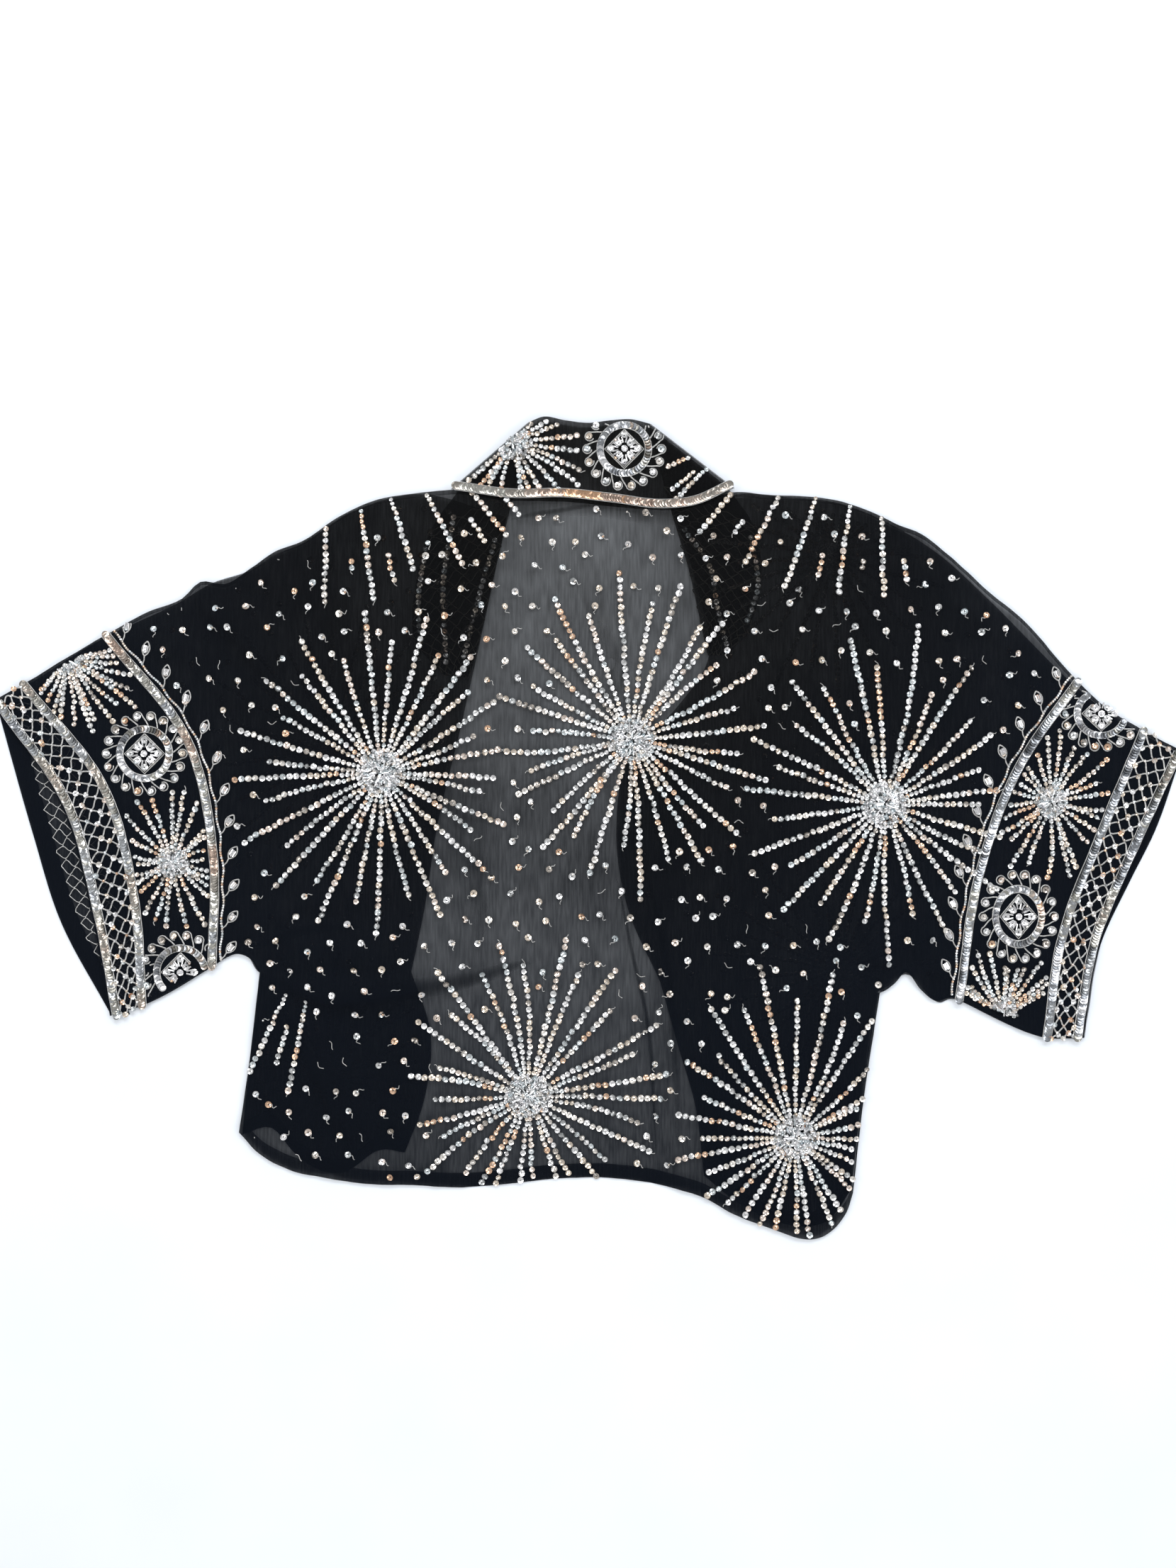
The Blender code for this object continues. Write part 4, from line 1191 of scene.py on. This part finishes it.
def medallion_nodes(medallion):
    if not medallion.nodes:
        return ()
    return medallion.nodes + "_ring", medallion.nodes + "_rosette"


def build_cuff_motifs():
    """What lies between the inner and the middle trims of each cuff."""
    bursts = {"left": LEFT_CUFF_BURSTS, "right": RIGHT_CUFF_BURSTS}
    for side, medallions in CUFF_MEDALLIONS.items():
        inner, middle = (trim_line(f"trim_{side}_cuff_{name}") for name in ("inner", "middle"))
        band = np.vstack([inner, middle[::-1]])
        for medallion in medallions:
            piece = Embroidery(medallion.name, back_height, band, 3.0)
            add_medallion(piece, medallion)
            piece.build(medallion_nodes(medallion))
        for burst in bursts[side]:
            piece = Embroidery(burst.name, back_height, band, 4.6, clear=medallions)
            add_burst(piece, burst, 0.9, CUFF_WARMTH)
            piece.build()


def build_collar_motifs(outline):
    piece = Embroidery(COLLAR_MEDALLION.name, collar_height, outline, 0.5)
    add_medallion(piece, COLLAR_MEDALLION)
    piece.build(medallion_nodes(COLLAR_MEDALLION))
    for burst in COLLAR_BURSTS:
        piece = Embroidery(burst.name, collar_height, outline, 1.5, clear=[COLLAR_MEDALLION])
        add_burst(piece, burst, 0.95, CUFF_WARMTH)
        piece.build()


def build_bursts(outline):
    """The back's bursts. Returns where their sequins lie."""
    taken = []
    for burst in BACK_BURSTS:
        piece = Embroidery(burst.name, back_height, outline, 0.8)
        add_burst(piece, burst)
        piece.build()
        taken.append(piece.centres)
    return np.vstack(taken)


def add_flat_heart(piece, centre, radius):
    """A heart of small sequins that lie flat, for the side that rests on the surface."""
    points, _ = spiral(centre, radius, int((radius / FLAT_HEART_PITCH) ** 2))
    tints = (np.arange(len(points)) + 0.5) * GOLDEN_ANGLE % COOL_TINTS
    piece.add("sequin", points, FLAT_HEART_SEQUIN, tints=tints)


def underside_height(points):
    """What the fronts' embroidery hangs from, so that it stays off the surface below."""
    return front_height(points) + 0.1


def build_underside(outlines):
    """The fronts' bursts and single sequins, on their outer side, which lies down."""
    for outline, bursts in zip(outlines, (LEFT_FRONT_BURSTS, RIGHT_FRONT_BURSTS)):
        taken = []
        for burst in bursts:
            piece = Embroidery(burst.name, underside_height, outline, 8.0, facing=-1)
            add_burst(piece, burst, 0.8)
            add_flat_heart(piece, np.array([burst.x, burst.y]), burst.start)
            piece.build()
            taken.append(piece.centres)
        name = bursts[0].name.replace("burst", "scattered")
        piece = Embroidery(name, underside_height, outline, 8.0, facing=-1)
        add_scatter(piece, np.vstack(taken))
        piece.build()


SCATTER_PITCH = 22.0
SCATTER_ROW = 18.5
SCATTER_CLEAR = 8.5
SCATTER_SHAKE = 5.5
SCATTER_INSET = 18
SCATTER_X = (-372, 384)
SCATTER_Y = (-312, 262)
LONE_THREAD_CHANCE = 0.1
LONE_THREAD = 7.0
SINGLE_SEQUINS = (4.8, 5.6)
# How far from its sequin a single's bead lies and its loose end starts, and how long that is
SINGLE_BEAD = 1.4
SINGLE_END = 2.2
SINGLE_TAIL = 4.0


def build_scatter(outline, taken):
    piece = Embroidery("scattered_sequins", back_height, outline, 6.0)
    add_scatter(piece, taken)
    piece.build()


def add_scatter(piece, taken):
    """Single sequins in staggered rows, each with a bead and the loose end of its thread."""
    left = trim_line("trim_left_cuff_inner") + (SCATTER_INSET, 0)
    right = trim_line("trim_right_cuff_inner") - (SCATTER_INSET, 0)
    rows, columns = np.arange(*SCATTER_Y, SCATTER_ROW), np.arange(*SCATTER_X, SCATTER_PITCH)
    x, y = np.meshgrid(columns, rows)
    x += SCATTER_PITCH / 2 * (np.arange(len(rows)) % 2)[:, None]
    points = np.column_stack([x.ravel(), y.ravel()])
    points += rng.uniform(-SCATTER_SHAKE, SCATTER_SHAKE, points.shape)
    x, y = points.T
    clear = (x > x_on(left, y)) & (x < x_on(right, y))
    gaps = np.linalg.norm(points[:, None] - taken, axis=2).min(1)
    for point in points[clear & (gaps > SCATTER_CLEAR)]:
        add_single(piece, point)


def add_single(piece, point):
    angle = math.radians(rng.normal(-40, 50))
    if rng.random() < LONE_THREAD_CHANCE:
        add_tail(piece, point, angle, LONE_THREAD)
        return
    way = heading(angle)
    piece.add("sequin", point, rng.uniform(*SINGLE_SEQUINS), lean=0.2)
    piece.add("bead", point + SINGLE_BEAD * way, SEED_BEAD, lift=0.9)
    add_tail(piece, point + SINGLE_END * way, angle, SINGLE_TAIL)


def node(tree, kind, links=None, **values):
    """A shader node with its settings and linked inputs."""
    made = tree.nodes.new(kind)
    for name, value in values.items():
        setattr(made, name, value)
    for name, source in (links or {}).items():
        if isinstance(source, bpy.types.NodeSocket):
            tree.links.new(source, made.inputs[name])
        else:
            made.inputs[name].default_value = source
    return made


def new_material(name):
    material = bpy.data.materials.new(name)
    material.use_nodes = True
    tree = material.node_tree
    return material, tree, tree.nodes["Principled BSDF"]


def stretched_noise(tree, scale, detail=3.0):
    """Noise whose grain is drawn out: the scales are per metre along each axis."""
    place = node(tree, "ShaderNodeTexCoord").outputs["Object"]
    mapped = node(tree, "ShaderNodeMapping", {"Vector": place, "Scale": scale})
    links = {"Vector": mapped.outputs[0], "Scale": 1.0, "Detail": detail}
    return node(tree, "ShaderNodeTexNoise", links).outputs[0]


def ramp(tree, factor, stops, interpolation="LINEAR"):
    """A colour ramp of (place, colour) stops."""
    made = node(tree, "ShaderNodeValToRGB", {"Fac": factor})
    elements = made.color_ramp.elements
    made.color_ramp.interpolation = interpolation
    while len(elements) < len(stops):
        elements.new(1.0)
    for element, (place, colour) in zip(elements, stops):
        element.position = place
        element.color = (*colour, 1.0)
    return made.outputs[0]


# How much of what is below the chiffon hides, at distances in metres from the nape. Its change with
# distance is painted shade: the cloth is lighter near the nape and darker further out.
NAPE = (0.0, 0.24, 0.0)
SHEER_COVER_AND_SHADE = [
    (0.02, 0.68), (0.07, 0.73), (0.12, 0.72), (0.18, 0.72), (0.23, 0.78), (0.28, 0.795),
    (0.33, 0.76), (0.37, 0.775), (0.42, 0.81), (0.46, 0.81), (0.53, 0.83), (0.56, 0.76),
]
FRONT_COVER_AND_SHADE = [(0.1, 0.72), (0.2, 0.76), (0.3, 0.79), (0.42, 0.82), (0.46, 0.87), (0.56, 0.9)]
# The fold strips' painted shade hides at most this much, scaled down along each strip
FOLD_SHADE_COVER = [(0.0, 0.95), (0.5, 0.95)]
CHIFFON_COLOURS = [
    (0.0, (0.0020, 0.0020, 0.0018)),
    (0.2, (0.0012, 0.0018, 0.0030)),
    (0.4, (0.0012, 0.0030, 0.0068)),
]
# How often each metre the cloth varies finely and broadly, and by how much
CRINKLE_SCALE = (640, 55, 60)
BROAD_SCALE = (24, 9, 10)
CRINKLE_COVER = 0.06
BROAD_COVER = 0.03


def chiffon(name, cover, shade_faded=False):
    """Sheer crinkle chiffon: its crinkles run down the jacket and thin and thicken the cloth. Where
    its cover changes with distance from the nape, that change is painted shade.
    """
    material, tree, shader = new_material(name)
    crinkle = stretched_noise(tree, CRINKLE_SCALE, 5.0)
    broad = stretched_noise(tree, BROAD_SCALE, 3.0)
    place = node(tree, "ShaderNodeTexCoord").outputs["Object"]
    away = node(tree, "ShaderNodeVectorMath", {0: place, 1: NAPE}, operation="DISTANCE")
    # Cover by distance from the nape, whose changes paint shade on the cloth
    covered = ramp(tree, away.outputs["Value"], [(where, (share,) * 3) for where, share in cover])
    fine, shift = (
        node(tree, "ShaderNodeMapRange", {0: noise, 1: 0.3, 2: 0.7, 3: -share, 4: share})
        for noise, share in ((crinkle, CRINKLE_COVER), (broad, BROAD_COVER))
    )
    uneven = node(tree, "ShaderNodeMath", {0: fine.outputs[0], 1: shift.outputs[0]})
    alpha = node(tree, "ShaderNodeMath", {0: covered, 1: uneven.outputs[0]})
    # The fold strips' alpha follows their painted shade, fading to nothing at their edges and ends
    if shade_faded:
        fold_shade = node(tree, "ShaderNodeAttribute", attribute_name="fold_shade").outputs["Fac"]
        links = {0: alpha.outputs[0], 1: fold_shade}
        alpha = node(tree, "ShaderNodeMath", links, operation="MULTIPLY")
    colour = ramp(tree, away.outputs["Value"], CHIFFON_COLOURS)
    bump = node(tree, "ShaderNodeBump", {"Height": crinkle, "Strength": 0.5, "Distance": 0.0005})
    tree.links.new(colour, shader.inputs["Base Color"])
    tree.links.new(alpha.outputs[0], shader.inputs["Alpha"])
    tree.links.new(bump.outputs[0], shader.inputs["Normal"])
    shader.inputs["Roughness"].default_value = 0.75
    shader.inputs["Specular IOR Level"].default_value = 0.08
    shader.inputs["Sheen Weight"].default_value = 0.02
    return material


# The tints of the sequins, of the trims' flat sequins and of the threads
SEQUIN_TINTS = [
    (0.00, (0.96, 0.96, 0.98)),
    (0.16, (0.82, 0.83, 0.84)),
    (0.30, (0.68, 0.74, 0.77)),
    (0.40, (0.52, 0.54, 0.55)),
    (0.47, (0.95, 0.91, 0.86)),
    (0.62, (0.84, 0.74, 0.63)),
    (0.76, (0.88, 0.76, 0.68)),
    (0.86, (0.80, 0.54, 0.38)),
    (0.93, (0.50, 0.46, 0.42)),
]
SCALE_TINTS = [
    (0.00, (0.80, 0.81, 0.84)),
    (0.12, (0.34, 0.36, 0.39)),
    (0.24, (0.44, 0.46, 0.48)),
    (0.36, (0.47, 0.465, 0.43)),
    (0.50, (0.38, 0.355, 0.32)),
    (0.62, (0.50, 0.43, 0.375)),
    (0.74, (0.42, 0.32, 0.265)),
    (0.88, (0.62, 0.39, 0.25)),
]
THREAD_TINTS = [(0.0, (0.15, 0.145, 0.13)), (0.2, (0.82, 0.82, 0.81))]


# The embroidery's materials, in the order of the kinds
Film = namedtuple("Film", "name roughness metallic stops wear")
FILMS = [
    Film("silver_sequin_film", 0.22, 0.95, SEQUIN_TINTS, 0.12),
    Film("glass_bead", 0.12, 0.6, SEQUIN_TINTS, 0.2),
    Film("bugle_bead", 0.15, 0.8, SEQUIN_TINTS, 0.2),
    Film("trim_film", 0.2, 0.92, SCALE_TINTS, 0.15),
    Film("silver_thread", 0.4, 0.45, THREAD_TINTS, 0.4),
]
GRAIN_SCALE = (700, 700, 700)


def film_material(film):
    """Metallised film or glass whose tint differs from one piece to the next."""
    material, tree, shader = new_material(film.name)
    tint = node(tree, "ShaderNodeAttribute", attribute_name="tint").outputs["Fac"]
    plain = ramp(tree, tint, film.stops, "CONSTANT")
    grain = stretched_noise(tree, GRAIN_SCALE, 2.0)
    worn = node(tree, "ShaderNodeMapRange", {0: grain, 1: 0.35, 2: 0.7, 3: 1 - film.wear, 4: 1.0})
    mixed = node(tree, "ShaderNodeMix", {"Factor": 1.0}, data_type="RGBA", blend_type="MULTIPLY")
    tree.links.new(plain, mixed.inputs[6])
    tree.links.new(worn.outputs[0], mixed.inputs[7])
    tree.links.new(mixed.outputs[2], shader.inputs["Base Color"])
    low, high = film.roughness * 0.7, film.roughness * 1.4
    rough = node(tree, "ShaderNodeMapRange", {0: grain, 3: low, 4: high})
    tree.links.new(rough.outputs[0], shader.inputs["Roughness"])
    shader.inputs["Metallic"].default_value = film.metallic
    return material


FLOOR_HALF = 4.0


def build_floor():
    mesh = bpy.data.meshes.new("floor")
    corners = [(x * FLOOR_HALF, y * FLOOR_HALF, 0) for x, y in ((-1, -1), (1, -1), (1, 1), (-1, 1))]
    mesh.from_pydata(corners, [], [(0, 1, 2, 3)])
    floor = bpy.data.objects.new("floor", mesh)
    bpy.context.scene.collection.objects.link(floor)
    material, tree, shader = new_material("pale_floor")
    speckle = stretched_noise(tree, (9, 9, 9), 3.0)
    colour = ramp(tree, speckle, [(0.3, (0.81, 0.86, 0.92)), (0.7, (0.84, 0.885, 0.94))])
    tree.links.new(colour, shader.inputs["Base Color"])
    shader.inputs["Roughness"].default_value = 0.9
    mesh.materials.append(material)


# Soft boxes above the jacket: where each stands and how large it is, in metres, and its power.
Light = namedtuple("Light", "name place size power colour")
LIGHTS = [
    Light("window", (0.15, 1.35, 1.55), (1.5, 0.7), 18.5, (0.98, 0.985, 1.0)),
    Light("left_window", (-1.35, 1.05, 1.2), (0.7, 0.5), 1.2, (0.97, 0.98, 1.0)),
    Light("right_window", (1.4, 1.05, 1.15), (0.7, 0.6), 6.0, (0.98, 0.985, 1.0)),
    Light("left_box", (-1.35, 0.0, 1.25), (0.5, 0.7), 6.5, (1.0, 0.975, 0.95)),
    Light("right_box", (1.35, -0.3, 1.3), (0.5, 0.7), 5.0, (0.97, 0.985, 1.0)),
    Light("near_box", (0.1, -1.3, 1.3), (1.0, 0.4), 6.0, (1.0, 0.985, 0.97)),
    Light("top_box", (-0.25, 0.25, 1.75), (0.35, 0.35), 2.6, (1.0, 1.0, 1.0)),
]
WORLD_COLOUR = (0.475, 0.475, 0.475)


def aimed(obj, place, target):
    obj.location = place
    obj.rotation_euler = (Vector(target) - Vector(place)).to_track_quat("-Z", "Y").to_euler()


def build_lights():
    for light in LIGHTS:
        data = bpy.data.lights.new(light.name, "AREA")
        data.shape = "RECTANGLE"
        data.size, data.size_y = light.size
        data.energy = light.power
        data.color = light.colour
        lamp = bpy.data.objects.new(light.name, data)
        bpy.context.scene.collection.objects.link(lamp)
        aimed(lamp, light.place, (0, 0, 0))
    world = bpy.data.worlds.new("studio")
    world.use_nodes = True
    world.node_tree.nodes["Background"].inputs["Color"].default_value = (*WORLD_COLOUR, 1.0)
    bpy.context.scene.world = world
    bpy.context.scene.view_settings.view_transform = "Standard"


def build_camera():
    """Straight above the jacket, with the photograph's frame."""
    data = bpy.data.cameras.new("camera")
    data.lens = LENS
    data.sensor_width = SENSOR
    camera = bpy.data.objects.new("camera", data)
    bpy.context.scene.collection.objects.link(camera)
    height = PHOTO_HEIGHT * MM_PER_PIXEL * MM * LENS / SENSOR
    centre = (ORIGIN_ROW - PHOTO_HEIGHT / 2) * MM_PER_PIXEL * MM
    camera.location = (0, centre, height)
    bpy.context.scene.camera = camera


def main():
    build_camera()
    build_lights()
    build_floor()
    cloth = chiffon("black_chiffon_sheer", SHEER_COVER_AND_SHADE)
    Embroidery.materials = [film_material(film) for film in FILMS]
    fold_shade_cloth = chiffon("black_chiffon_fold_shade", FOLD_SHADE_COVER, shade_faded=True)
    front_cloth = chiffon("black_chiffon_front", FRONT_COVER_AND_SHADE)
    back_outline, left_outline, right_outline = build_cloth(cloth, front_cloth, fold_shade_cloth)
    collar_outline = build_collar(cloth)
    build_trims()
    build_lattices(left_outline)
    build_lapel_embroidery()
    build_vines(back_outline)
    build_cuff_motifs()
    build_collar_motifs(collar_outline)
    build_underside((left_outline, right_outline))
    taken = build_bursts(back_outline)
    build_scatter(back_outline, taken)


main()
